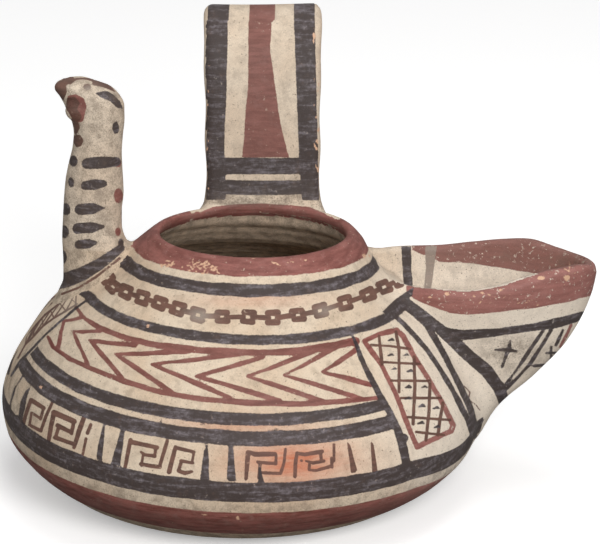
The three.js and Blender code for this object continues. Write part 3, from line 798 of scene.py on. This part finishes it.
def paint(P, N):
    """Distances to the dark, red and brown paint and to the flaked chips, and how much of each spot is inside or
    scorched, dirty or in painted shade, and paler from wear and painted light.
    """
    X, Y, Z = P.T
    px, py = project(P)
    eye = TARGET + DIST * np.array([0, -math.cos(ELEV), math.sin(ELEV)])
    V = eye - P
    V /= np.linalg.norm(V, axis=1, keepdims=True)
    facing = (N * V).sum(1)
    x, y, r, h = unsettle(X, Y, Z)
    th = np.degrees(np.arctan2(y, x))
    far = np.full(len(P), 400.0)

    # which part of the vase each point is on
    body_d = sample(OUTER, r, h)
    inner_d = sample(INNER, r, h)
    inside = (inner_d < 1.0) & (r < np.where(h < 112, 200, MOUTH_R + 0.9)) & (h < 116.2) & (Z > 3)
    flank, hb, _ = basin_fields(X, Y, Z)
    in_basin_box = (X > 45) & (Y > -42) & (Y < 62) & (Z > 8) & (Z < 112)
    hs, tt, ss = handle_sdf(X, Y, Z)
    bd = bird_sdf(X, Y, Z)
    well = in_basin_box & (flank < -2.6) & (hb > 44) & (body_d > -1.5) & ~inside
    bird = (bd < body_d + 0.5) & (X < -38) & ~inside & (bd < 5) & (Z > 70)
    strap = (hs < body_d) & (Y > 30) & ~inside & (hs < 5)
    off = (body_d > 1.2) | (h < 100.5)
    well &= off
    basin = in_basin_box & (flank < body_d) & ~inside & ~well & (flank < 8) & off
    body = ~(inside | well | bird | strap | basin)
    seen = (facing > -0.05) & (Y < 60)
    # ---- body
    fade = 1.0
    sag = np.where((facing > -0.05) & (Y < 40), 5.0 * smooth(408, 470, px), 0.0)
    red = np.minimum(band(h + sag, *RED_RINGS[0]), band(h, *RED_RINGS[1]))
    brown = far.copy()
    ang = th % 360  # front is 270
    panel = (ang > 310) | (ang < 22)  # beside and under the basin
    front = (ang > 179.5) | (ang < 14)
    # the panel beside the basin interrupts the lower dark rings, as the edge line shows
    edge = patch(px, py, [(353, 330), (361, 352), (373, 378), (390, 410), (400, 432), (406, 466), (600, 466), (600, 250), (400, 300)])
    left_edge = patch(px, py, [(90, 299), (70, 316), (50, 334), (33, 351), (21, 362), (8, 384), (-20, 384), (-20, 250), (60, 268)])
    ring34 = join(band(h, 61.1, 65.6), band(h, 53.6, 59.1))
    others = join(band(h, *DARK_RINGS[0]), band(h, *DARK_RINGS[1]), band(h + sag, *DARK_RINGS[4]))
    cut = np.where(seen & (ang > 179.5), np.minimum(edge, left_edge), np.where(panel | ((ang > 172.5) & (ang < 190)), -5.0, far))
    ring34 = np.maximum(ring34, -cut)
    dark = join(others, ring34)
    fd, fr, fb = front_body(px, py)
    rd, rr, rb, edges = back_body(x, y, h)
    on_front = body & seen & front
    rear = body & (ang >= 22) & (ang <= 172.5)
    dark = np.where(on_front, join(dark, fd), np.where(rear, join(dark, rd), dark))
    red = np.where(on_front, join(red, fr), np.where(rear, join(red, rr), red))
    brown = np.where(on_front, fb, np.where(rear, rb, far))
    dark = np.where(body & ~on_front, join(dark, edges), dark)
    # the rings end in a clean line where another part rises from the body
    others_on = join(others, ring34, np.where(on_front, far, edges))
    run_dark, run_red = np.maximum(others_on, body_d - 1.0), np.maximum(band(h, *RED_RINGS[1]), body_d - 1.0)
    # ---- other parts
    d, e, f = basin_marks(px, py)
    seen_b = facing > -0.02
    ring = (np.maximum(82.5 - hb, hb - 130.0), np.maximum(67.0 - hb, hb - 73.0))
    dark = np.where(basin, np.where(seen_b, np.minimum(d, fd), join(ring[1], run_dark)), dark)
    red = np.where(basin, np.where(seen_b, e, join(ring[0], run_red)), red)
    brown = np.where(basin, np.where(seen_b, join(f, fb), far), brown)
    d, e, f = basin_inside(px, py, hb)
    dark = np.where(well, np.where(facing > -0.1, d, far), dark)
    red = np.where(well, np.where(facing > -0.1, e, np.maximum(83.0 - hb, 5.0 - body_d)), red)
    brown = np.where(well, np.where(facing > -0.1, f, far), brown)
    d, e, f = bird_marks(px, py)
    foot_band = np.maximum(82.0 - Z, Z - 91.0)
    dark = np.where(bird, np.where(facing > -0.05, d, foot_band), dark)
    red = np.where(bird, np.where(facing > -0.05, e, far), red)
    brown = np.where(bird, np.where(facing > -0.05, f, far), brown)
    face = (Y < 62) & (facing > 0.15)
    d, e, f = handle_marks(px, py, X - HANDLE_X, ss, face)
    ty, tz = 72.0 - Y, 140.0 - Z
    within = (N[:, 1] * ty + N[:, 2] * tz) / np.hypot(ty, tz)
    inner_face = strap & (within > np.where(face, 0.2, -0.35))
    dark = np.where(strap, np.where(inner_face, far, d), dark)
    red = np.where(strap, np.where(inner_face, far, e), red)
    brown = np.where(strap, far, brown)
    foot = (strap | body) & (Y > 18) & (Y < 66) & (px > 190) & (px < 340) & (py > 186) & (py < 232) & (facing > 0)
    lip_edge = patch(px, py, [(180, 232), (196, 215), (204, 210.5), (216, 206.5), (236, 204.5), (262, 203.5), (290, 205), (310, 207), (324, 213), (345, 230), (345, 260), (180, 260)])
    red = np.where(foot, lip_edge, red)
    for v in (dark, red, brown):
        v[inside] = 400.0
    # the red of the lip runs a little way over its edge
    lip = inside & (h > 104)
    red[lip] = (112.9 - h)[lip]
    # chips
    chips = []
    rng = np.random.default_rng(7)
    for cx, cy, sx, sy, n in ((169, 265, 8, 2.6, 14), (200, 266, 14, 6, 34), (213, 270, 5, 3, 10), (365, 258, 5, 7, 8), (300, 262, 40, 4, 12), (520, 300, 50, 6, 26), (570, 272, 14, 6, 14), (240, 514, 70, 6, 16)):
        for _ in range(n):
            chips.append(blob(px, py, (cx + rng.normal() * sx * 0.6, cy + rng.normal() * sy * 0.6), (rng.uniform(1.2, 4.6), rng.uniform(0.8, 2.0)), rng.normal() * 35))
    for k in range(30):  # worn edges of the strap
        y = 12 + 6.1 * k + rng.normal() * 2
        chips.append(blob(px, py, (313.5 + 0.025 * y + rng.normal() * 1.6, y), (rng.uniform(1, 3.2), rng.uniform(2, 7.5)), rng.normal() * 12))
        if k % 2:
            chips.append(blob(px, py, (208 + rng.normal() * 1.5, y), (rng.uniform(1, 2.6), rng.uniform(2, 6)), rng.normal() * 12))
    for cx, cy, sx, sy in ((541, 278, 8, 4), (567, 278, 7, 6), (551, 281, 5, 4), (562, 285, 5, 3.4), (148, 326, 5, 3.4), (235, 290, 3, 2), (41, 387, 4, 3), (543, 277, 5, 2.5), (568, 279, 5, 3), (482, 293, 4, 3), (501, 290, 5, 2.4), (447, 294, 5, 4), (114, 425, 3, 2), (430, 297, 4, 3)):
        chips.append(blob(px, py, (cx, cy), (sx, sy)))
    chip = np.where((facing > 0) & ~inside & (Y < 60), join(*chips), 400.0)
    chip = np.where(well & (facing < 0.1), 400.0, chip)
    flash = np.exp(-(((px - 295) / 58) ** 2 + ((py - 462) / 24) ** 2)) * 1.02 + 0.5 * np.exp(-(((px - 235) / 70) ** 2 + ((py - 424) / 9) ** 2)) + 0.35 * np.exp(-(((px - 255) / 60) ** 2 + ((py - 300) / 9) ** 2))
    flash = np.where(on_front & (facing > 0), np.minimum(flash, 1.0), 0.0)
    grey = np.where(on_front | bird, np.exp(-(((px - 200) / 14) ** 2 + ((py - 316) / 9) ** 2)) * 0.6 + 0.45 * np.exp(-(((px - 326) / 12) ** 2 + ((py - 311) / 8) ** 2)), 0.0)
    grey = np.where(well, 0.6, grey)
    grey = np.maximum(grey, np.where(bird, 0.75 * np.exp(-(((px - 89) / 10) ** 2 + ((py - 91) / 6) ** 2)), 0.0))
    # the red of the chevrons and of the strap's tongue is browner
    browner = smooth(62, 66, h) * smooth(90, 86, h) * smooth(50, 80, px) * smooth(356, 340, px) * 0.45
    grey = np.maximum(grey, np.where(strap, 0.5, np.where(body, browner, 0.0)))
    dirt_and_shade = np.where(inside, 0.6, np.where(well, 0.22, np.where(bird, 0.5, 0.08)))
    dirt_and_shade = np.maximum(dirt_and_shade, np.where(basin, 0.05 + 0.6 * np.exp(-(((px - 512) / 34) ** 2 + ((py - 352) / 20) ** 2)), 0))
    # darker towards the bottom: partly dirt, partly painted shade of the lower body
    dirt_and_shade = np.maximum(dirt_and_shade, np.where(body, 0.55 * smooth(40, 20, h), 0))
    dirt_and_shade = np.maximum(dirt_and_shade, np.where(strap, 0.15 + 0.6 * smooth(165, 205, py) * (Y < 62), 0))
    # painted shade: the front of the body is darkened towards its left edge, the side away from the lamps
    dirt_and_shade = np.maximum(dirt_and_shade, np.where(body & (h > 3) & (ang > 185) & (ang < 240), 0.38 * smooth(90, 8, px), 0))
    stain = join(*[blob(px, py, c, z, a) for c, z, a in (((449, 254), (20, 7), 0), ((508, 257), (26, 10), 12), ((478, 262), (30, 5), 5), ((560, 262), (36, 15), 10), ((70, 92), (16, 9), 20), ((96, 84), (30, 7), 8), ((80, 112), (12, 16), 0), ((112, 97), (18, 10), 25))])
    dirt_and_shade = np.maximum(dirt_and_shade, np.where((well | bird) & (facing > 0), smooth(1.5, -2.0, stain) * 0.95, 0))
    # darker towards the right end of the basin's inside
    dirt_and_shade = np.maximum(dirt_and_shade, np.where(well, smooth(540, 585, px) * 0.9, 0))
    A = np.stack([np.clip(v, -6, 6) for v in (dark, red, brown)], 1)
    B = np.stack([np.clip(chip, -6, 6), flash, grey], 1)
    # dirt and painted shade; inside; paler: on the strap, worn on the lip's top, and painted light growing towards the
    # basin side
    C = np.stack([dirt_and_shade, np.where(inside, 1.0, 0.0), np.where(strap, 0.3, np.maximum(smooth(42, 100, X), np.where(h > 110.5, 0.35, 0.0)))], 1)
    return A.astype(np.float32), B.astype(np.float32), C.astype(np.float32), (px, py, facing, body, inside, basin, well, bird, strap)


def fine_zone(P, N):
    """1 where the decoration needs a close mesh, 2 where it needs the closest."""
    px, py = project(P)
    eye = TARGET + DIST * np.array([0, -math.cos(ELEV), math.sin(ELEV)])
    V = eye - P
    V /= np.linalg.norm(V, axis=1, keepdims=True)
    facing = (N * V).sum(1)
    x, y, r, h = unsettle(*P.T)
    inner = sample(INNER, r, h) < 1.0
    z = np.zeros(len(P), int)
    front = (facing > 0.0) & ~inner & (P[:, 1] < 66)
    inbox = lambda x0, y0, x1, y1: (px > x0) & (px < x1) & (py > y0) & (py < y1)
    low = P[:, 2] < 112
    chevrons = (h > 63) & (h < 90) & (px < 385) & low
    fret = (h > 38.5) & (h < 54.5) & (px < 405)
    one = chevrons | fret | inbox(40, 70, 136, 300) | inbox(196, 140, 330, 215) | inbox(345, 285, 520, 470) | inbox(480, 300, 600, 400) | inbox(385, 240, 445, 300) | inbox(150, 250, 240, 285) | inbox(0, 270, 100, 400)
    z[front & one & (P[:, 2] > 20)] = 1
    chain = (h > 93.2) & (h < 101.6) & (r < 75) & (P[:, 1] < 0) & (px > 90)
    keys = fret & (h > 40.5) & (h < 52.8) & (inbox(20, 390, 90, 450) | inbox(122, 430, 202, 480) | inbox(240, 440, 340, 482))
    lattice = patch(px, py, [(362, 338), (396, 326), (406, 332), (458, 428), (418, 451)]) < 0.5
    net = patch(px, py, [(82, 284), (82, 308), (16, 366), (6, 366), (40, 305)]) < 0.5
    z[front & (chain | keys | lattice | net | inbox(160, 258, 222, 279)) & low] = 2
    # the two rims
    hb = basin_fields(*P.T)[1]
    z[(h > 111.5) & (P[:, 2] > 100) & (r < 52) & (P[:, 2] < 122) & (z < 1)] = 1
    z[(P[:, 0] > 60) & (hb > 90.5) & (P[:, 2] < 112) & (z < 1)] = 1
    # the pierced wall inside the basin
    z[(P[:, 0] > 72) & (P[:, 0] < 100) & (np.abs(P[:, 1] - 6) < 21) & (P[:, 2] > 52) & (P[:, 2] < 86) & (r < 102)] = 1
    return z


def refine(P, T, mark):
    """Splits the marked triangles in four and their neighbours to match, with no gaps."""
    n = len(P)
    E = np.sort(np.concatenate([T[:, [0, 1]], T[:, [1, 2]], T[:, [2, 0]]]), 1)
    key = E[:, 0].astype(np.int64) * n + E[:, 1]
    uniq, inv = np.unique(key, return_inverse=True)
    inv = inv.reshape(3, -1).T  # edge id of each triangle's three sides
    cut = np.zeros(len(uniq), bool)
    cut[inv[mark].ravel()] = True
    mid = np.full(len(uniq), -1, np.int64)
    mid[cut] = n + np.arange(cut.sum())
    a, b = uniq[cut] // n, uniq[cut] % n
    P2 = np.concatenate([P, (P[a] + P[b]) / 2])
    m = mid[inv]
    k = (m >= 0).sum(1)
    out = [T[k == 0]]
    t, q = T[k == 3], m[k == 3]
    out += [np.stack([t[:, 0], q[:, 0], q[:, 2]], 1), np.stack([q[:, 0], t[:, 1], q[:, 1]], 1), np.stack([q[:, 2], q[:, 1], t[:, 2]], 1), q]
    for s in range(3):
        r = (s + 1) % 3
        u = (s + 2) % 3
        w = (k == 1) & (m[:, s] >= 0)
        t, q = T[w], m[w, s]
        out += [np.stack([t[:, s], q, t[:, u]], 1), np.stack([q, t[:, r], t[:, u]], 1)]
        w = (k == 2) & (m[:, s] < 0)
        t, qr, qu = T[w], m[w, r], m[w, u]
        out += [np.stack([t[:, s], t[:, r], qr], 1), np.stack([t[:, s], qr, qu], 1), np.stack([qu, qr, t[:, u]], 1)]
    return P2, np.concatenate(out), np.arange(n, len(P2))


def triangles(P, Q):
    """Each quad cut along its shorter diagonal."""
    a = np.linalg.norm(P[Q[:, 0]] - P[Q[:, 2]], axis=1)
    b = np.linalg.norm(P[Q[:, 1]] - P[Q[:, 3]], axis=1)
    s = a <= b
    q1, q2 = Q[s], Q[~s]
    return np.concatenate([q1[:, [0, 1, 2]], q1[:, [0, 2, 3]], q2[:, [0, 1, 3]], q2[:, [1, 2, 3]]])


def thin_out(P, T, weight, target):
    """Drops triangles where weight is 1, such as inside the body, until about target are left."""
    mesh = bpy.data.meshes.new("thin")
    mesh.vertices.add(len(P))
    mesh.vertices.foreach_set("co", P.astype(np.float32).ravel())
    mesh.loops.add(3 * len(T))
    mesh.loops.foreach_set("vertex_index", T.astype(np.int32).ravel())
    mesh.polygons.add(len(T))
    mesh.polygons.foreach_set("loop_start", np.arange(0, 3 * len(T), 3, dtype=np.int32))
    mesh.update(calc_edges=True)
    obj = bpy.data.objects.new("thin", mesh)
    bpy.context.scene.collection.objects.link(obj)
    group = obj.vertex_groups.new(name="thin")
    group.add([int(i) for i in np.nonzero(weight)[0]], 1.0, "REPLACE")
    mod = obj.modifiers.new("thin", "DECIMATE")
    mod.ratio = target / len(T)
    mod.vertex_group = "thin"
    mod.vertex_group_factor = 1.0
    mod.use_collapse_triangulate = True
    made = bpy.data.meshes.new_from_object(obj.evaluated_get(bpy.context.evaluated_depsgraph_get()))
    made.calc_loop_triangles()
    V = np.zeros(3 * len(made.vertices), np.float32)
    made.vertices.foreach_get("co", V)
    F = np.zeros(3 * len(made.loop_triangles), np.int32)
    made.loop_triangles.foreach_get("vertices", F)
    bpy.data.objects.remove(obj)
    bpy.data.meshes.remove(mesh)
    bpy.data.meshes.remove(made)
    return V.reshape(-1, 3).astype(float), F.reshape(-1, 3).astype(np.int64)


def spare(P, N):
    """True inside the body, on its underside and in its broad plain parts, where the mesh can be coarser."""
    X, Y, Z = P.T
    x, y, r, h = unsettle(X, Y, Z)
    hb = basin_fields(X, Y, Z)[1]
    hidden = ((sample(INNER, r, h) < 0.8) & (Z < 104)) | (Z < 1.2)
    A, B, C, info = paint(P, N)
    near = np.minimum(np.abs(A).min(1), np.abs(B[:, 0]) + 1.0)
    bird, strap = info[7], info[8]
    rims = (h > 106) | ((X > 55) & (hb > 80)) | bird | strap
    pierced = (X > 70) & (X < 102) & (np.abs(Y - 6) < 23) & (Z > 50) & (Z < 88)
    return (hidden | ((near > 3.0) & ~rims)) & ~pierced


def unpinch(P, T):
    """Where two sheets of clay touch along a short edge, the point in its middle is doubled, so each edge has two triangles."""
    E = np.sort(np.concatenate([T[:, [0, 1]], T[:, [1, 2]], T[:, [2, 0]]]), 1)
    u, times = np.unique(E, axis=0, return_counts=True)
    pinched = u[times == 4]
    middle, often = np.unique(pinched, return_counts=True)
    T, more = T.copy(), []
    for m in middle[often == 2]:
        ends = [int(v) for e in pinched if m in e for v in e if v != m]
        after = {}
        for f in np.nonzero((T == m).any(1))[0]:
            i = list(T[f]).index(m)
            after.setdefault(int(T[f][(i + 1) % 3]), []).append((int(T[f][(i + 2) % 3]), int(f)))
        fans = []
        for start in ends:
            for q, f in after.get(start, []):
                fan = [f]
                while q not in ends and len(after.get(q, [])) == 1:
                    q, f = after[q][0]
                    fan.append(f)
                normal = np.cross(P[T[fan][:, 1]] - P[T[fan][:, 0]], P[T[fan][:, 2]] - P[T[fan][:, 0]]).sum(0)
                fans.append((start, q, fan, normal / (np.linalg.norm(normal) + 1e-12)))
        out = [n for n in fans if (n[0], n[1]) == (ends[0], ends[1])]
        back = [n for n in fans if (n[0], n[1]) == (ends[1], ends[0])]
        if len(out) == 2 and len(back) == 2:
            pair = max(back, key=lambda n: float(n[3] @ out[0][3]))
            own = np.array(out[0][2] + pair[2])
            T[own] = np.where(T[own] == m, len(P) + len(more), T[own])
            more.append(P[m])
    if more:
        P = np.concatenate([P, np.array(more)])
    return P, T


def make_mesh(step):
    P, Q = build(step)
    T = triangles(P, Q)
    for level in (1, 2):
        N = gradient(P)
        N /= np.linalg.norm(N, axis=1, keepdims=True) + 1e-9
        z = fine_zone(P, N)
        mark = (z[T] >= level).all(1)
        P, T, new = refine(P, T, mark)
        P[new] = settle_on(P[new], 2)
    if len(T) > MOST:
        N = gradient(P)
        N /= np.linalg.norm(N, axis=1, keepdims=True) + 1e-9
        P, T = thin_out(P, T, spare(P, N), MOST)
    P, T = unpinch(P, T)
    N = gradient(P)
    N /= np.linalg.norm(N, axis=1, keepdims=True) + 1e-9
    return P, T, N


# ------------------------------------------------------------------- the piece
def make_piece(name, P, T, attributes):
    mesh = bpy.data.meshes.new(name)
    mesh.vertices.add(len(P))
    mesh.vertices.foreach_set("co", (P / 1000).astype(np.float32).ravel())
    mesh.loops.add(3 * len(T))
    mesh.loops.foreach_set("vertex_index", T.astype(np.int32).ravel())
    mesh.polygons.add(len(T))
    mesh.polygons.foreach_set("loop_start", np.arange(0, 3 * len(T), 3, dtype=np.int32))
    mesh.polygons.foreach_set("use_smooth", np.ones(len(T), bool))
    mesh.update(calc_edges=True)
    for key, values in attributes.items():
        a = mesh.attributes.new(key, "FLOAT_VECTOR", "POINT")
        a.data.foreach_set("vector", values.ravel())
    obj = bpy.data.objects.new(name, mesh)
    bpy.context.scene.collection.objects.link(obj)
    return obj


def linear(r, g, b):
    f = lambda c: c / 12.92 if c <= 0.04045 else ((c + 0.055) / 1.055) ** 2.4
    return (f(r / 255), f(g / 255), f(b / 255), 1.0)


class Nodes:
    """Short calls for the few kinds of node that the finish needs."""

    def __init__(self, tree):
        self.tree = tree

    def add(self, kind, **settings):
        n = self.tree.nodes.new(kind)
        for k, v in settings.items():
            setattr(n, k, v)
        return n

    def put(self, socket, value):
        if isinstance(value, bpy.types.NodeSocket):
            self.tree.links.new(value, socket)
        else:
            socket.default_value = value

    def math(self, op, a, b=None, c=None, clamp=False):
        n = self.add("ShaderNodeMath", operation=op, use_clamp=clamp)
        for s, v in zip(n.inputs, (a, b, c)):
            if v is not None:
                self.put(s, v)
        return n.outputs[0]

    def ramp(self, v, a, b, lo=0.0, hi=1.0):
        n = self.add("ShaderNodeMapRange", interpolation_type="SMOOTHSTEP")
        for s, x in zip(n.inputs, (v, a, b, lo, hi)):
            self.put(s, x)
        return n.outputs[0]

    def mix(self, f, a, b):
        n = self.add("ShaderNodeMix", data_type="RGBA")
        self.put(n.inputs["Factor"], f)
        self.put(n.inputs[6], a)
        self.put(n.inputs[7], b)
        return n.outputs[2]

    def noise(self, vector, scale, detail=2.0, rough=0.5, lean=0.0):
        n = self.add("ShaderNodeTexNoise")
        self.put(n.inputs["Vector"], vector)
        n.inputs["Scale"].default_value = scale
        n.inputs["Detail"].default_value = detail
        n.inputs["Roughness"].default_value = rough
        n.inputs["Distortion"].default_value = lean
        return n.outputs[0]

    def scaled(self, vector, by, shift=(0, 0, 0)):
        n = self.add("ShaderNodeVectorMath", operation="MULTIPLY_ADD")
        self.put(n.inputs[0], vector)
        n.inputs[1].default_value = by
        n.inputs[2].default_value = shift
        return n.outputs[0]

    def parts(self, name):
        a = self.add("ShaderNodeAttribute", attribute_name=name)
        s = self.add("ShaderNodeSeparateXYZ")
        self.put(s.inputs[0], a.outputs["Vector"])
        return s.outputs[0], s.outputs[1], s.outputs[2]


def clay_finish():
    m = bpy.data.materials.new("painted_clay")
    m.use_nodes = True
    m.node_tree.nodes.clear()
    g = Nodes(m.node_tree)
    where = g.add("ShaderNodeTexCoord").outputs["Object"]
    mm = g.scaled(where, (1000, 1000, 1000))
    swept = g.scaled(where, (150, 150, 1000))  # drawn out along the bands
    dark_d, red_d, brown_d = g.parts("paint_a")
    chip_d, flash, grey = g.parts("paint_b")
    dirt_and_shade, inside, paler = g.parts("paint_c")

    # the brush wavers, and its edges are ragged
    waver = g.math("MULTIPLY_ADD", g.noise(mm, 0.11, 1.0), 1.2, -0.6)
    ragged = g.math("MULTIPLY_ADD", g.noise(mm, 1.1, 3.0, 0.65), 0.8, -0.4)
    edge = g.math("ADD", g.math("MULTIPLY", waver, 0.75), ragged)

    def cover(distance, soft=0.2, amount=1.0):
        return g.ramp(g.math("ADD", distance, g.math("MULTIPLY", edge, amount)), soft, -soft)

    fine = g.noise(mm, 1.7, 4.0, 0.7)
    medium = g.noise(mm, 0.22, 4.0, 0.6)
    broad = g.noise(mm, 0.035, 3.0, 0.55)
    streak = g.noise(swept, 0.55, 4.0, 0.65)
    specks = g.ramp(g.noise(mm, 1.1, 2.5, 0.6), 0.63, 0.71)
    rub = g.noise(mm, 0.5, 5.0, 0.72)

    # slip
    slip = g.mix(g.ramp(broad, 0.35, 0.65), linear(224, 206, 183), linear(214, 191, 165))
    slip = g.mix(g.ramp(medium, 0.46, 0.74, 0, 0.6), slip, linear(182, 163, 142))
    slip = g.mix(g.ramp(fine, 0.5, 0.76, 0, 0.5), slip, linear(160, 140, 120))
    # paler slip: wear on the lip, and painted light towards the basin side
    slip = g.mix(g.math("MULTIPLY", paler, 0.7), slip, linear(242, 231, 216))
    slip = g.mix(g.math("MULTIPLY", specks, 0.7), slip, linear(92, 74, 62))
    slip = g.mix(g.math("MULTIPLY", flash, g.ramp(streak, 0.2, 0.75, 0.55, 1.0)), slip, linear(198, 112, 78))
    slip = g.mix(g.math("MULTIPLY", inside, 0.8), slip, linear(214, 190, 164))
    # dirt, and painted shade on the lower body and on the left side
    grime_and_shade = g.math("MULTIPLY", dirt_and_shade, g.ramp(g.math("ADD", g.math("MULTIPLY", medium, 0.45), g.math("MULTIPLY", fine, 0.55)), 0.4, 0.62, 0.08, 1.1), clamp=True)
    slip = g.mix(grime_and_shade, slip, linear(128, 114, 100))

    # red-brown
    red_mask = cover(red_d)
    red_worn = g.ramp(g.math("ADD", rub, g.math("MULTIPLY", paler, 0.055)), 0.64, 0.72, 1.0, 0.15)
    red = g.mix(g.ramp(streak, 0.3, 0.7), linear(108, 54, 46), linear(150, 92, 84))
    red = g.mix(g.ramp(medium, 0.5, 0.78, 0, 0.5), red, linear(160, 112, 106))
    # paler red: wear, and painted light towards the basin side and on the basin's top edge
    red = g.mix(g.math("MULTIPLY", paler, 0.4), red, linear(178, 130, 122))
    red = g.mix(g.math("MULTIPLY", grey, 0.75), red, linear(120, 88, 78))
    colour = g.mix(g.math("MULTIPLY", red_mask, red_worn), slip, red)

    # brown lines
    brown_mask = cover(brown_d, 0.16, 0.55)
    brown = g.mix(g.ramp(streak, 0.3, 0.7), linear(82, 52, 43), linear(114, 77, 65))
    brown = g.mix(grey, brown, linear(172, 162, 150))
    brown_thin = g.ramp(rub, 0.6, 0.74, 0.96, 0.45)
    colour = g.mix(g.math("MULTIPLY", brown_mask, brown_thin), colour, brown)

    # dark
    dark_mask = cover(dark_d)
    bloom = g.ramp(g.math("ADD", g.math("MULTIPLY", streak, 0.6), g.math("MULTIPLY", rub, 0.4)), 0.46, 0.7)
    dark = g.mix(bloom, linear(54, 44, 45), linear(120, 113, 119))
    dark = g.mix(g.ramp(medium, 0.55, 0.8, 0, 0.5), dark, linear(98, 76, 66))
    dark_thin = g.ramp(g.math("ADD", rub, g.math("MULTIPLY", dirt_and_shade, 0.03)), 0.63, 0.76, 0.97, 0.35)
    colour = g.mix(g.math("MULTIPLY", dark_mask, dark_thin), colour, dark)
    # the same dirt and painted shade darken the paint as well
    colour = g.mix(g.math("MULTIPLY", grime_and_shade, 0.45), colour, linear(112, 98, 86))
    # fine grain of the clay, through every colour
    grit = g.math("ADD", g.math("MULTIPLY", g.noise(mm, 2.6, 3.0, 0.75), 0.65), g.math("MULTIPLY", fine, 0.35))
    shade = g.ramp(grit, 0.3, 0.72, 0.80, 1.16)
    tone = g.add("ShaderNodeVectorMath", operation="SCALE")
    g.put(tone.inputs[0], colour)
    g.put(tone.inputs["Scale"], shade)
    colour = tone.outputs[0]

    # flaked spots show the pale clay
    flake = g.ramp(g.math("ADD", chip_d, g.math("MULTIPLY", ragged, 1.2)), 0.15, -0.15)
    colour = g.mix(flake, colour, g.mix(fine, linear(226, 190, 158), linear(198, 150, 124)))

    painted = g.math("MAXIMUM", g.math("MAXIMUM", dark_mask, red_mask), brown_mask)
    rough = g.ramp(g.math("MULTIPLY", painted, 1.0), 0.0, 1.0, 0.82, 0.6)
    rough = g.math("ADD", rough, g.ramp(fine, 0.3, 0.7, -0.05, 0.06))

    grain = g.math("MULTIPLY_ADD", g.noise(mm, 0.75, 5.0, 0.72), 0.16, g.math("MULTIPLY", medium, 0.25))
    grain = g.math("ADD", grain, g.math("MULTIPLY", g.noise(swept, 0.33, 2.0), 0.16))
    grain = g.math("SUBTRACT", grain, g.math("MULTIPLY", flake, 0.12))
    bump = g.add("ShaderNodeBump")
    bump.inputs["Strength"].default_value = 0.55
    bump.inputs["Distance"].default_value = 0.001
    g.put(bump.inputs["Height"], grain)

    shader = g.add("ShaderNodeBsdfPrincipled")
    g.put(shader.inputs["Base Color"], colour)
    g.put(shader.inputs["Roughness"], rough)
    g.put(shader.inputs["Normal"], bump.outputs[0])
    shader.inputs["Specular IOR Level"].default_value = 0.35
    out = g.add("ShaderNodeOutputMaterial")
    g.put(out.inputs["Surface"], shader.outputs[0])
    return m


# ------------------------------------------------------------- lights, camera
def area_light(name, at, to, size, power, colour=(1, 1, 1)):
    data = bpy.data.lights.new(name, "AREA")
    data.shape, data.size, data.energy, data.color = "SQUARE", size, power, colour
    obj = bpy.data.objects.new(name, data)
    obj.location = at
    d = np.array(to, float) - np.array(at, float)
    obj.rotation_euler = look(d)
    bpy.context.scene.collection.objects.link(obj)
    return obj


def look(d):
    """Euler angles that point -Z along d with +Y kept upward."""
    d = np.array(d, float) / np.linalg.norm(d)
    return (math.acos(max(-1.0, min(1.0, -d[2]))), 0.0, math.atan2(d[0], -d[1]) + math.pi)


def set_stage():
    floor_mesh = bpy.data.meshes.new("floor")
    s = 6.0
    floor_mesh.from_pydata([(-s, -s, 0), (s, -s, 0), (s, s, 0), (-s, s, 0)], [], [(0, 1, 2, 3)])
    floor = bpy.data.objects.new("floor", floor_mesh)
    bpy.context.scene.collection.objects.link(floor)
    fm = bpy.data.materials.new("floor")
    fm.use_nodes = True
    b = fm.node_tree.nodes["Principled BSDF"]
    b.inputs["Roughness"].default_value = 0.9
    b.inputs["Specular IOR Level"].default_value = 0.05
    # a pale floor that throws little light back up under the vase
    g = Nodes(fm.node_tree)
    path = g.add("ShaderNodeLightPath")
    g.put(b.inputs["Base Color"], g.mix(path.outputs["Is Camera Ray"], (0.24, 0.23, 0.22, 1), (0.97, 0.97, 0.97, 1)))
    b.inputs["Emission Color"].default_value = (1, 1, 1, 1)
    g.put(b.inputs["Emission Strength"], g.math("MULTIPLY", path.outputs["Is Camera Ray"], 0.32))
    floor_mesh.materials.append(fm)
    area_light("key", (0.5, -1.4, 0.95), (0.02, 0.0, 0.09), 0.8, 21.5, (1.0, 0.99, 0.98))
    area_light("fill", (-1.2, -0.7, 0.8), (0.0, 0.0, 0.09), 1.0, 2.6)
    area_light("top", (0.1, 0.25, 1.5), (0.0, 0.0, 0.1), 0.7, 4.5)
    world = bpy.data.worlds.new("world")
    bpy.context.scene.world = world
    world.use_nodes = True
    bg = world.node_tree.nodes["Background"]
    bg.inputs["Color"].default_value = (1.0, 1.0, 1.0, 1)
    bg.inputs["Strength"].default_value = 0.36
    bpy.context.scene.view_settings.view_transform = "Standard"
    bpy.context.scene.view_settings.look = "None"


def set_camera():
    data = bpy.data.cameras.new("camera")
    data.sensor_width = 36.0
    data.lens = FOCAL * 36.0 / 600.0
    data.clip_start, data.clip_end = 0.05, 20.0
    cam = bpy.data.objects.new("camera", data)
    t = TARGET / 1000
    back = np.array([0.0, -math.cos(ELEV), math.sin(ELEV)])
    cam.location = tuple(t + back * DIST / 1000)
    cam.rotation_euler = (math.pi / 2 - ELEV, 0.0, 0.0)
    bpy.context.scene.collection.objects.link(cam)
    bpy.context.scene.camera = cam


P, T, N = make_mesh(2.3)
print("triangles", len(T))
A, B, C, _ = paint(P, N)
vase = make_piece("vase_clay", P, T, {"paint_a": A, "paint_b": B, "paint_c": C})
vase.data.materials.append(clay_finish())
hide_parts("strainer_vase")
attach(vase, "root")
set_stage()
set_camera()
